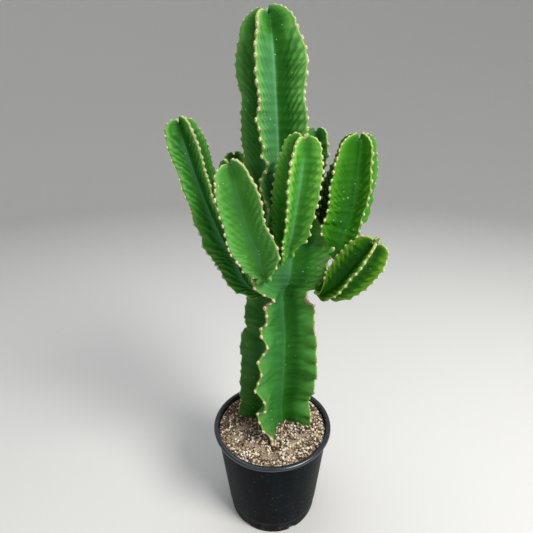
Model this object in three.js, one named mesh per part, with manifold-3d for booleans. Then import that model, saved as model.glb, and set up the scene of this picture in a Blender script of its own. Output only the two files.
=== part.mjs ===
// A branched four-ribbed euphorbia growing in a round nursery pot.
// Units are millimetres, +Z is up, and the origin is the centre of the flat
// underside of the pot. Every stem is a closed star-section body: an axis of
// stations, each with the reach and the bearing of its four ribs, and an
// apex where the rib crests arch over into a sunken growing point.
import * as THREE from 'three';
import * as BufferGeometryUtils from 'three/addons/utils/BufferGeometryUtils.js';
import Module from 'manifold-3d';

// ---------------------------------------------------------------- dimensions
const POT_RIM_R = 127;        // outermost radius of the rolled rim
const POT_TOP = 216;          // height of the rim's crown
const POT_BODY_R = 119.5;     // outer radius of the side just under the rim
const POT_BASE_R = 97;        // outer radius at the ground
const POT_WALL = 2.2;         // wall thickness
const POT_FLOOR = 3;          // floor thickness
const BEAD_H = 9;             // height of the rolled rim bead
const BAND_H = 28;            // height of the recessed foot band
const BAND_IN = 1;            // how far the band is set in
const DRAINS = 6;             // drainage openings round the bottom corner
const DRAIN_AT = -65;         // bearing of the first one in degrees
const DRAIN_W = 15;           // their width
const DRAIN_H = 7;            // their height up the side
const DRAIN_IN = 14;          // their reach into the floor
const SOIL_TOP = 204;         // level of the mix at the wall
const SOIL_CROWN = 5;         // rise of the mix towards the stem
const GAP = 0.4;              // clearance between neighbouring solids
const STEM_SINK = 158;        // depth to which the central stem is planted
const RIB_HALF = 2.4;         // half thickness of a rib's margin
const VALLEY = 0.25;          // depth of a valley as a share of the rib reach
const NODE_Z = [515, 655];    // the swollen node where the branches leave
const NODE_FILL = 0.26;       // how much shallower the valleys are there

// One row per station, base to tip:
// axis x, y, z, reach of ribs 0 to 3, bearing of ribs 0 to 3 in degrees
const STEMS = {
  central_stem: [
    [2.7, 18.7, 179.5, 78.5, 79.5, 78.5, 79.5, -11, 68, 170, 263],
    [3.1, 18.5, 187.6, 78.8, 79.5, 78.8, 79.5, -11, 68, 170, 263],
    [4.1, 18.2, 210.4, 79.3, 79.4, 79.2, 79.4, -11, 68, 170, 263],
    [5.2, 17.8, 235.6, 78.6, 79.1, 77, 79.1, -13, 68, 168, 259],
    [6.9, 17.3, 273.6, 77.2, 79.7, 78.9, 79.7, -17, 68, 163, 250],
    [9.3, 16.5, 311.5, 83.8, 81.9, 82.3, 81.9, -21, 68, 159, 248],
    [10.7, 15.9, 336.9, 83.9, 82.7, 81.8, 82.7, -22, 68, 158, 247],
    [12.5, 15.2, 374.9, 82.7, 82.2, 85.4, 82.2, -22, 68, 158, 246],
    [13.7, 14.7, 400.3, 80.2, 79.8, 82, 79.8, -22, 68, 158, 245],
    [14.8, 14.5, 425.6, 77.6, 76.5, 72.5, 76.5, -22, 68, 158, 245],
    [14.9, 14.6, 451, 72.3, 73.9, 73.6, 73.9, -22, 68, 158, 245],
    [13.2, 15.4, 489.2, 73.3, 70.5, 68.6, 70.5, -22, 68, 158, 247],
    [12.6, 15.7, 501.9, 69.1, 69.7, 65.5, 69.7, -22, 68, 158, 249],
    [12.4, 16, 514.7, 59.7, 69.8, 64.5, 69.8, -22, 68, 158, 252],
    [12.6, 16.1, 527.4, 58.1, 71.4, 68.5, 71.4, -22, 68, 158, 253],
    [13.5, 16, 540, 66.2, 74.4, 76.5, 74.4, -22, 68, 158, 252],
    [14.9, 15.9, 552.7, 78.8, 78.1, 81.8, 78.1, -22, 68, 158, 247],
    [16.7, 15.5, 565.2, 84.5, 81.5, 84.7, 81.5, -22, 68, 158, 242],
    [19.8, 14.8, 590.4, 86.1, 85.3, 85.8, 85.3, -22, 68, 158, 238],
    [20.5, 14.3, 615.7, 93.6, 84.4, 84.7, 84.4, -22, 68, 158, 239],
    [16, 15.1, 653.5, 73.5, 75.6, 77.4, 75.6, -22, 68, 158, 243],
    [10, 16.3, 691.1, 64.9, 66.3, 66.8, 66.3, -22, 68, 158, 249],
    [6.9, 17, 741.8, 60.6, 60, 59.3, 60, -22, 68, 158, 253],
    [6.1, 17.2, 779.8, 57.9, 58.3, 56.5, 58.3, -22, 68, 158, 249],
    [5.4, 17.9, 805.2, 57.7, 58.1, 59.3, 58.1, -22, 68, 158, 247],
    [2.4, 19, 868.5, 55.2, 57.2, 55.3, 57.2, -22, 68, 158, 247],
    [0, 19.2, 906.5, 60.7, 58.4, 61.1, 58.4, -22, 68, 158, 248],
    [-1, 19.3, 919.1, 60.5, 58, 60.4, 58, -22, 68, 158, 248],
    [-3.1, 19.6, 943.7, 54.7, 54.7, 54.9, 54.7, -22, 68, 158, 250],
    [-4.8, 19.7, 962.4, 47.4, 50.7, 48.2, 50.7, -22, 68, 158, 252],
  ],
  arm_left: [
    [-21.8, 24.4, 517.5, 18.3, 19.8, 18.3, 19.8, 32, 122, 212, 294],
    [-41.7, 28.3, 529, 27.1, 28.5, 25.8, 28.5, 32, 122, 212, 294],
    [-53.4, 31.5, 546.4, 38.7, 38.3, 38.1, 38.3, 32, 122, 212, 294],
    [-59.3, 33.4, 561, 47.1, 42.6, 40.8, 42.6, 32, 122, 212, 294],
    [-72.2, 35.7, 596.9, 40.6, 42.5, 43.2, 42.5, 32, 122, 212, 296],
    [-90.8, 32.5, 629.8, 43.2, 43.1, 45.1, 43.1, 32, 122, 212, 299],
    [-98.3, 31.7, 649.4, 41.5, 41.1, 39.1, 41.1, 32, 122, 212, 299],
    [-105.6, 30.2, 669.4, 39.7, 40, 41.7, 40, 32, 122, 212, 297],
    [-114.2, 28.4, 695.1, 37.1, 37.3, 36.3, 37.3, 32, 122, 212, 294],
    [-124.8, 25.7, 725.7, 34.6, 35.2, 34.8, 35.2, 32, 122, 212, 306],
    [-143.6, 20.1, 793.4, 33.9, 33.2, 33.2, 33.2, 32, 122, 212, 310],
    [-149.8, 19.5, 816.6, 28.8, 30, 28.7, 30, 32, 122, 212, 312],
  ],
  arm_front_left: [
    [-13.4, -44.5, 568.6, 16.2, 17.2, 17.2, 16.2, -45, 45, 135, 225],
    [-12, -48.3, 578.8, 21.3, 17.1, 17.9, 21.3, -45, 45, 135, 225],
    [-12.2, -49.7, 581.7, 14.8, 15.7, 17, 14.6, -45, 45, 135, 225],
    [-12.7, -51.1, 584.5, 14.8, 14.7, 16.4, 14.4, -45, 45, 135, 225],
    [-14.2, -54, 590, 19.5, 15.1, 17.6, 18.7, -45, 45, 135, 225],
    [-19, -59.9, 607.7, 36.5, 24.9, 29.3, 35.6, -45, 45, 135, 225],
    [-20.9, -61.7, 620.5, 42.2, 29.5, 34.7, 43.6, -45, 45, 135, 225],
    [-24.1, -64, 636.3, 46.2, 31.7, 37.3, 45.8, -45, 45, 135, 225],
    [-31.1, -67.3, 653.9, 48.8, 33, 38.9, 48.7, -45, 45, 135, 225],
    [-42.4, -72.5, 686.9, 43.2, 30.1, 35.4, 43.4, -45, 45, 135, 225],
    [-52.6, -80.8, 736.7, 43.5, 29.1, 34.2, 43.4, -45, 45, 135, 225],
    [-58.4, -83.8, 756.2, 34.3, 24.2, 28.5, 34.6, -45, 45, 135, 225],
  ],
  arm_front_centre: [
    [26.1, -17, 593.6, 12.8, 13.3, 13.1, 13.3, -22, 68, 158, 232],
    [26.5, -24.9, 609.7, 17.1, 16.6, 16.5, 16.6, -22, 68, 158, 235],
    [26.5, -26.1, 612.8, 16.5, 17, 17.1, 17, -22, 68, 158, 237],
    [26.5, -27.3, 615.9, 12.5, 17.4, 17.8, 17.4, -22, 68, 158, 240],
    [26.5, -28.4, 619, 13.2, 18.1, 18.6, 18.1, -22, 68, 158, 242],
    [27.3, -32.5, 631.7, 20.8, 23.1, 23.2, 23.1, -22, 68, 158, 246],
    [29.7, -37.6, 647.3, 29.6, 29.6, 28.8, 29.6, -22, 68, 158, 247],
    [31.2, -40.6, 656.6, 32.1, 32.1, 31.7, 32.1, -22, 68, 158, 247],
    [34.6, -51.6, 694.1, 36.3, 36.2, 35.8, 36.2, -22, 68, 158, 251],
    [38.5, -59.5, 725.5, 37.6, 37.6, 37.4, 37.6, -22, 68, 158, 246],
    [42.4, -64.2, 758, 36.3, 36.6, 36.5, 36.6, -22, 68, 158, 243],
    [46.3, -68.4, 788.7, 28.9, 30.2, 28.7, 30.2, -22, 68, 158, 241],
  ],
  arm_right: [
    [104.7, -15.6, 603.9, 13, 13, 14.5, 13, -51, 39, 129, 219],
    [113.3, -12.6, 613.8, 23.1, 23.8, 24.9, 24.4, -51, 39, 129, 219],
    [118.1, -10.7, 621.5, 24.9, 34.2, 33.3, 44.7, -51, 39, 129, 219],
    [120.9, -9.6, 627, 26.6, 38.6, 37.7, 52.1, -51, 39, 129, 219],
    [131.8, -4.4, 656.3, 31.6, 45.9, 45.7, 60, -51, 39, 129, 219],
    [133.2, -4.4, 662.4, 30.8, 47.7, 46.9, 59.6, -51, 39, 129, 219],
    [134, -4.4, 665.4, 30.4, 56.7, 47.5, 59.1, -51, 39, 129, 219],
    [134.7, -4.4, 668.3, 29.9, 58.9, 48, 58.8, -51, 39, 129, 219],
    [140.1, -6.1, 695.6, 30.3, 58.5, 48.7, 58.6, -51, 39, 129, 219],
    [141, -10.1, 726.3, 34, 59, 49.9, 59.3, -51, 39, 129, 219],
    [142.1, -11.7, 750.7, 31.1, 57.4, 48, 57.4, -51, 39, 129, 219],
    [142.2, -16.3, 785.1, 27.4, 47.5, 40.6, 46, -51, 39, 129, 219],
  ],
  arm_lower_right: [
    [83.6, -14.4, 540.4, 12.3, 12.3, 12.3, 12.3, -24, 66, 156, 246],
    [90.3, -16.9, 537.4, 16.6, 16.6, 16.6, 16.6, -24, 66, 156, 246],
    [98.6, -19.8, 537, 21.8, 21.8, 21.8, 21.8, -24, 66, 156, 246],
    [108.7, -23.3, 540.3, 27.4, 27.4, 27.4, 27.4, -24, 66, 156, 246],
    [117.6, -26.7, 546.3, 31.3, 31.3, 31.3, 31.3, -24, 66, 156, 246],
    [131.6, -33.1, 562.6, 35.7, 35.7, 35.7, 35.7, -24, 66, 156, 246],
    [138.9, -36.5, 573.3, 37.1, 37.1, 37.1, 37.1, -24, 66, 156, 246],
    [146.8, -40.3, 586.3, 37.8, 37.8, 37.8, 37.8, -24, 66, 156, 246],
    [153, -43.7, 597.6, 37.3, 37.3, 37.3, 37.3, -24, 66, 156, 246],
    [159.7, -47.9, 611.1, 35.9, 35.9, 35.9, 35.9, -24, 66, 156, 246],
    [166, -52.6, 624.5, 32.1, 32.1, 32.1, 32.1, -24, 66, 156, 246],
    [167.3, -53.6, 627.3, 31, 31, 31, 31, -24, 66, 156, 246],
  ],
  arm_back_right: [
    [48.9, 34.8, 583.8, 19.6, 20.1, 20.1, 20.1, -50, 40, 130, 220],
    [50.8, 36.8, 588.4, 21, 21.1, 21.1, 21.1, -50, 40, 130, 220],
    [58.9, 45.6, 610.9, 25.9, 25.1, 25.1, 25.1, -50, 40, 130, 220],
    [62.9, 50.1, 624.3, 23.7, 24.6, 24.6, 24.6, -50, 40, 130, 220],
    [68.8, 57.3, 648.1, 25.1, 25.9, 25.9, 25.9, -50, 40, 130, 220],
    [73.3, 63.8, 672.5, 26.7, 27.4, 27.4, 27.4, -50, 40, 130, 220],
    [77, 70.7, 700.8, 27.7, 28.3, 28.3, 28.3, -50, 40, 130, 220],
    [80, 78.8, 736.3, 29.1, 29.7, 29.7, 29.7, -50, 40, 130, 220],
    [82.1, 84.8, 768.6, 34.6, 33.8, 33.8, 33.8, -50, 40, 130, 220],
    [83.2, 87.7, 786.7, 34.4, 33.3, 33.3, 33.3, -50, 40, 130, 220],
    [83.6, 88.8, 793.7, 33, 32.5, 32.5, 32.5, -50, 40, 130, 220],
    [84, 89.7, 799, 31.9, 31.7, 31.7, 31.7, -50, 40, 130, 220],
  ],
  arm_back_right_low: [
    [71.4, 26.2, 593.9, 15.9, 15.9, 15.5, 15.9, -30, 60, 150, 240],
    [75.9, 27.2, 599.3, 17.7, 17.7, 17.7, 17.7, -30, 60, 150, 240],
    [88.1, 30.5, 615.5, 22.7, 22.7, 22.8, 22.7, -30, 60, 150, 240],
    [93, 32, 622.7, 23.2, 23.2, 24.8, 23.2, -30, 60, 150, 240],
    [94.5, 32.5, 625.1, 22.7, 22.7, 24, 22.7, -30, 60, 150, 240],
    [96.1, 33.1, 627.6, 22.1, 22.1, 19.2, 22.1, -30, 60, 150, 240],
    [97.6, 33.6, 630.1, 21.6, 21.6, 18.8, 21.6, -30, 60, 150, 240],
    [110.3, 38, 656.1, 27, 27, 26.1, 27, -30, 60, 150, 240],
    [121.1, 42, 692.5, 31.5, 31.5, 31.2, 31.5, -30, 60, 150, 240],
    [129, 46.5, 723.4, 32.4, 32.4, 32.7, 32.4, -30, 60, 150, 240],
    [132.3, 48.9, 737.5, 30.1, 30.1, 30, 30.1, -30, 60, 150, 240],
    [136.3, 51.8, 758.7, 23.6, 23.6, 22, 23.6, -30, 60, 150, 240],
  ],
  arm_back_left: [
    [-1.8, 44.8, 563.4, 18.6, 18.6, 18.6, 18.6, -45, 45, 135, 225],
    [-7.4, 48.2, 569.1, 20.6, 20.6, 20.6, 20.6, -45, 45, 135, 225],
    [-19.3, 56.3, 584.6, 25.1, 25.1, 25.1, 25.1, -45, 45, 135, 225],
    [-30.4, 65, 605.1, 29.2, 29.2, 29.2, 29.2, -45, 45, 135, 225],
    [-38.8, 72.3, 627.3, 30.3, 30.3, 30.3, 30.3, -45, 45, 135, 225],
    [-43.6, 76.7, 643.8, 30.6, 30.6, 30.6, 30.6, -45, 45, 135, 225],
    [-47.7, 80.6, 660.6, 30.7, 30.7, 30.7, 30.7, -45, 45, 135, 225],
    [-53, 86.4, 687.9, 30.6, 30.6, 30.6, 30.6, -45, 45, 135, 225],
    [-58.3, 92.2, 715.1, 29.9, 29.9, 29.9, 29.9, -45, 45, 135, 225],
    [-62.2, 95.9, 732, 29, 29, 29, 29, -45, 45, 135, 225],
    [-67, 100.6, 752.1, 26.6, 26.6, 26.6, 26.6, -45, 45, 135, 225],
    [-68.5, 102.5, 760.4, 25.7, 25.7, 25.7, 25.7, -45, 45, 135, 225],
  ],
};

// rise of the crests over the last station, and the sink of the growing point
const TIP = {
  central_stem: [29, 13], arm_left: [20, 8], arm_front_left: [19, 8], arm_front_centre: [23, 8],
  arm_right: [26, 15], arm_lower_right: [18, 8], arm_back_right: [20, 8],
  arm_back_right_low: [16, 7], arm_back_left: [16, 7],
};

// ---------------------------------------------------------------- materials
const skin = (hex) => new THREE.MeshStandardMaterial({ color: hex, roughness: 0.5, metalness: 0 });
const MATERIALS = {
  central_stem: skin(0x3d7038), arm_left: skin(0x3a6b35), arm_front_left: skin(0x4b8140),
  arm_front_centre: skin(0x4d8342), arm_right: skin(0x3b6d36), arm_lower_right: skin(0x39692f),
  arm_back_right: skin(0x35632f), arm_back_right_low: skin(0x315d2c), arm_back_left: skin(0x386832),
  potting_mix: new THREE.MeshStandardMaterial({ color: 0x86715c, roughness: 1, metalness: 0 }),
  nursery_pot: new THREE.MeshStandardMaterial({ color: 0x1b1f24, roughness: 0.45, metalness: 0 }),
};

// ---------------------------------------------------------------- solids
const wasm = await Module();
wasm.setup();

function toSolid(geometry) {
  const g = geometry.clone();
  for (const k of ['normal', 'uv']) g.deleteAttribute(k);
  const m = BufferGeometryUtils.mergeVertices(g, 1e-4);
  return new wasm.Manifold(new wasm.Mesh({
    numProp: 3,
    vertProperties: new Float32Array(m.attributes.position.array),
    triVerts: new Uint32Array(m.index.array),
  }));
}

function toGeometry(solid) {
  const m = solid.getMesh();
  const g = new THREE.BufferGeometry();
  g.setAttribute('position', new THREE.BufferAttribute(new Float32Array(m.vertProperties), 3));
  g.setIndex(new THREE.BufferAttribute(new Uint32Array(m.triVerts), 1));
  g.computeVertexNormals();
  return g;
}

function largest(solid) {
  let best = null;
  for (const s of solid.decompose()) if (!best || s.volume() > best.volume()) best = s;
  return best;
}

// ring of points of one star section; grow thickens the whole section
function section(c, t, reach, bearing, valley, grow, half) {
  const e1 = new THREE.Vector3(1, 0, 0).addScaledVector(t, -t.x).normalize();
  const e2 = new THREE.Vector3().crossVectors(t, e1);
  const pts = [];
  const at = (x, y) => pts.push(c.clone().addScaledVector(e1, x).addScaledVector(e2, y));
  for (let k = 0; k < 4; k++) {
    const a = THREE.MathUtils.degToRad(bearing[k]);
    let b = THREE.MathUtils.degToRad(bearing[(k + 1) % 4]);
    while (b < a) b += 2 * Math.PI;
    const ra = reach[k] + grow, rb = reach[(k + 1) % 4] + grow;
    const h = half + grow, m = (a + b) / 2;
    const rv = Math.max(valley * (ra + rb) / 2, h * 1.5) + grow;
    const vx = rv * Math.cos(m), vy = rv * Math.sin(m);
    for (const [r, ang, s] of [[ra, a, 1], [rb, b, -1]]) {
      const ux = Math.cos(ang), uy = Math.sin(ang), px = -uy * s, py = ux * s;
      const hh = Math.min(h, r * 0.4);
      const cx = ux * r + px * hh, cy = uy * r + py * hh;
      const lat = vx * px + vy * py;
      const q = 0.55, bow = Math.max(lat - hh, 0) * (q - q * q);
      const mid = [cx + (vx - cx) * q - px * bow, cy + (vy - cy) * q - py * bow];
      if (s > 0) { at(cx, cy); at(...mid); at(vx, vy); } else { at(...mid); at(cx, cy); }
    }
  }
  return pts;
}

function stem(name, grow = 0) {
  const rows = STEMS[name].map((r) => r.slice());
  const isTrunk = name === 'central_stem';
  if (isTrunk) { rows[0][2] = STEM_SINK; }
  const P = rows.map((r) => new THREE.Vector3(r[0], r[1], r[2]));
  const n = rows.length;
  const tangent = (i) => new THREE.Vector3().subVectors(P[Math.min(i + 1, n - 1)], P[Math.max(i - 1, 0)]).normalize();
  const rings = [];
  const start = P[0].clone().addScaledVector(tangent(0), -grow);
  for (let i = 0; i < n; i++) {
    let v = VALLEY;
    if (isTrunk) {
      const z = rows[i][2];
      if (z > NODE_Z[0] && z < NODE_Z[1]) v += NODE_FILL * Math.sin(Math.PI * (z - NODE_Z[0]) / (NODE_Z[1] - NODE_Z[0]));
    }
    rings.push(section(i === 0 ? start : P[i], tangent(i), rows[i].slice(3, 7), rows[i].slice(7, 11), v, grow, RIB_HALF));
  }
  // apex: crests arch inwards, then drop to the growing point
  const last = rows[n - 1], t = tangent(n - 1), c = P[n - 1];
  const [rise, sink] = TIP[name];
  for (const [shrink, lift, fill] of [[0.93, 0.4, 0.25], [0.76, 0.72, 0.28], [0.52, 0.94, 0.34], [0.33, 1, 0.46], [0.2, 0.9, 0.6]]) {
    const reach = last.slice(3, 7).map((r) => r * shrink);
    rings.push(section(c.clone().addScaledVector(t, rise * lift + grow * lift), t, reach, last.slice(7, 11), fill, grow * 0.7, RIB_HALF));
  }
  const tip = c.clone().addScaledVector(t, rise - sink + grow);
  const m = rings[0].length;
  const pos = [];
  const vert = (p) => { pos.push(p.x, p.y, p.z); return pos.length / 3 - 1; };
  const ids = rings.map((ring) => ring.map(vert));
  const foot = vert(start), top = vert(tip);
  const idx = [];
  for (let i = 0; i < ids.length - 1; i++) {
    for (let j = 0; j < m; j++) {
      const k = (j + 1) % m;
      idx.push(ids[i][j], ids[i][k], ids[i + 1][k], ids[i][j], ids[i + 1][k], ids[i + 1][j]);
    }
  }
  for (let j = 0; j < m; j++) {
    const k = (j + 1) % m;
    idx.push(foot, ids[0][k], ids[0][j], top, ids.at(-1)[j], ids.at(-1)[k]);
  }
  const g = new THREE.BufferGeometry();
  g.setAttribute('position', new THREE.BufferAttribute(new Float32Array(pos), 3));
  g.setIndex(idx);
  return toSolid(g);
}

// outer radius of the pot's side, and of its bore, at a height
const sideR = (z) => POT_BASE_R + (POT_BODY_R - POT_BASE_R) * z / (POT_TOP - BEAD_H);
const boreR = (z) => sideR(z) - POT_WALL;

function lathe(profile, segments) {
  const g = new THREE.LatheGeometry(profile.map(([x, y]) => new THREE.Vector2(x, y)), segments);
  g.rotateX(Math.PI / 2);
  return toSolid(g);
}

function pot() {
  const zb = POT_TOP - BEAD_H;
  const body = lathe([
    [0, 0], [POT_BASE_R - 2.5, 0], [POT_BASE_R - 1, 1.5], [sideR(BAND_H - 1) - BAND_IN, BAND_H - 1],
    [sideR(BAND_H + 1), BAND_H + 1], [sideR(zb), zb],
    [POT_RIM_R - 0.8, zb + 0.2], [POT_RIM_R, zb + 2.5], [POT_RIM_R - 0.8, POT_TOP - 2.2], [POT_RIM_R - 3.2, POT_TOP],
    [boreR(zb) + 2.6, POT_TOP], [boreR(zb) + 0.4, POT_TOP - 2], [boreR(zb), zb],
    [boreR(POT_FLOOR), POT_FLOOR], [0, POT_FLOOR],
  ], 64);
  let out = body;
  for (let i = 0; i < DRAINS; i++) {
    const box = new THREE.BoxGeometry(DRAIN_IN + 6, DRAIN_W, DRAIN_H * 2);
    box.translate(POT_BASE_R - DRAIN_IN / 2 + 3, 0, 0);
    box.rotateZ(THREE.MathUtils.degToRad(DRAIN_AT + i * 360 / DRAINS));
    out = out.subtract(toSolid(box));
  }
  return out;
}

function soil(trunkGrown) {
  const z0 = POT_FLOOR + GAP, z1 = SOIL_TOP;
  const body = lathe([
    [0, z0], [boreR(z0) - GAP - 1, z0], [boreR(z1) - GAP - 0.6, z1], [88, z1 + SOIL_CROWN * 0.6],
    [55, z1 + SOIL_CROWN], [0, z1 + SOIL_CROWN],
  ], 48);
  return largest(body.subtract(trunkGrown));
}

// ---------------------------------------------------------------- assembly
const names = Object.keys(STEMS);
const plain = {}, grown = {};
for (const n of names) { plain[n] = stem(n); grown[n] = stem(n, GAP + 0.1); }
// a branch is cut back where it meets the central stem or an earlier branch
for (let i = 1; i < names.length; i++) {
  let s = plain[names[i]];
  for (let j = 0; j < i; j++) s = largest(s.subtract(grown[names[j]]));
  plain[names[i]] = s;
}
plain.potting_mix = soil(grown.central_stem);
plain.nursery_pot = pot();

const euphorbia = new THREE.Group();
const rest = new THREE.Group();
euphorbia.add(rest);
for (const n of [...names, 'potting_mix', 'nursery_pot']) {
  const mesh = new THREE.Mesh(toGeometry(plain[n]), MATERIALS[n]);
  mesh.name = n;
  rest.add(mesh);
}

export default euphorbia;
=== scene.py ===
# A branched four-ribbed euphorbia in a round nursery pot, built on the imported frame.
import math

import bmesh
import bpy
import numpy as np
from mathutils import Matrix, Vector


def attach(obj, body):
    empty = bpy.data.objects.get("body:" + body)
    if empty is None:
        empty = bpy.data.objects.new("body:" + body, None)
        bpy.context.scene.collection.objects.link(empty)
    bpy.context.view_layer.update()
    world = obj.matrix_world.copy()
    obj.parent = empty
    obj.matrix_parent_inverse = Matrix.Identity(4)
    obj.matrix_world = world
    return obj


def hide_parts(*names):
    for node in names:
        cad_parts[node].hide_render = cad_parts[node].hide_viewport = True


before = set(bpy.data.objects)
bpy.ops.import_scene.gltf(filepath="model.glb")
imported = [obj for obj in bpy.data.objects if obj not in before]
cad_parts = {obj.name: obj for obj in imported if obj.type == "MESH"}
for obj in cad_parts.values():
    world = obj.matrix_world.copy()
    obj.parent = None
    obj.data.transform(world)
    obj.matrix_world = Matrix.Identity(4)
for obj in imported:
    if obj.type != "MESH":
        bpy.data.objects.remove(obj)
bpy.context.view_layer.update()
MM = 0.001

# ------------------------------------------------------------------ camera
# the photograph's viewing angle: 20.5 degrees down on the plant, from the front
cam_data = bpy.data.cameras.new("camera")
cam_data.sensor_width = 36.0
cam_data.lens = 36.0 * 380.0 / 533.0
cam_data.clip_start = 0.01
cam_data.clip_end = 60
cam = bpy.data.objects.new("camera", cam_data)
bpy.context.scene.collection.objects.link(cam)
pitch, roll = math.radians(20.51), math.radians(-0.53)
fwd = np.array([0, math.cos(pitch), -math.sin(pitch)])
rt0, up0 = np.array([1.0, 0, 0]), np.array([0, math.sin(pitch), math.cos(pitch)])
rt = math.cos(roll) * rt0 + math.sin(roll) * up0
up = -math.sin(roll) * rt0 + math.cos(roll) * up0
m = Matrix(((rt[0], up[0], -fwd[0]), (rt[1], up[1], -fwd[1]), (rt[2], up[2], -fwd[2])))
cam.matrix_world = Matrix.Translation((-0.0094, -0.664, 0.826)) @ m.to_4x4()
bpy.context.scene.camera = cam

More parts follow.
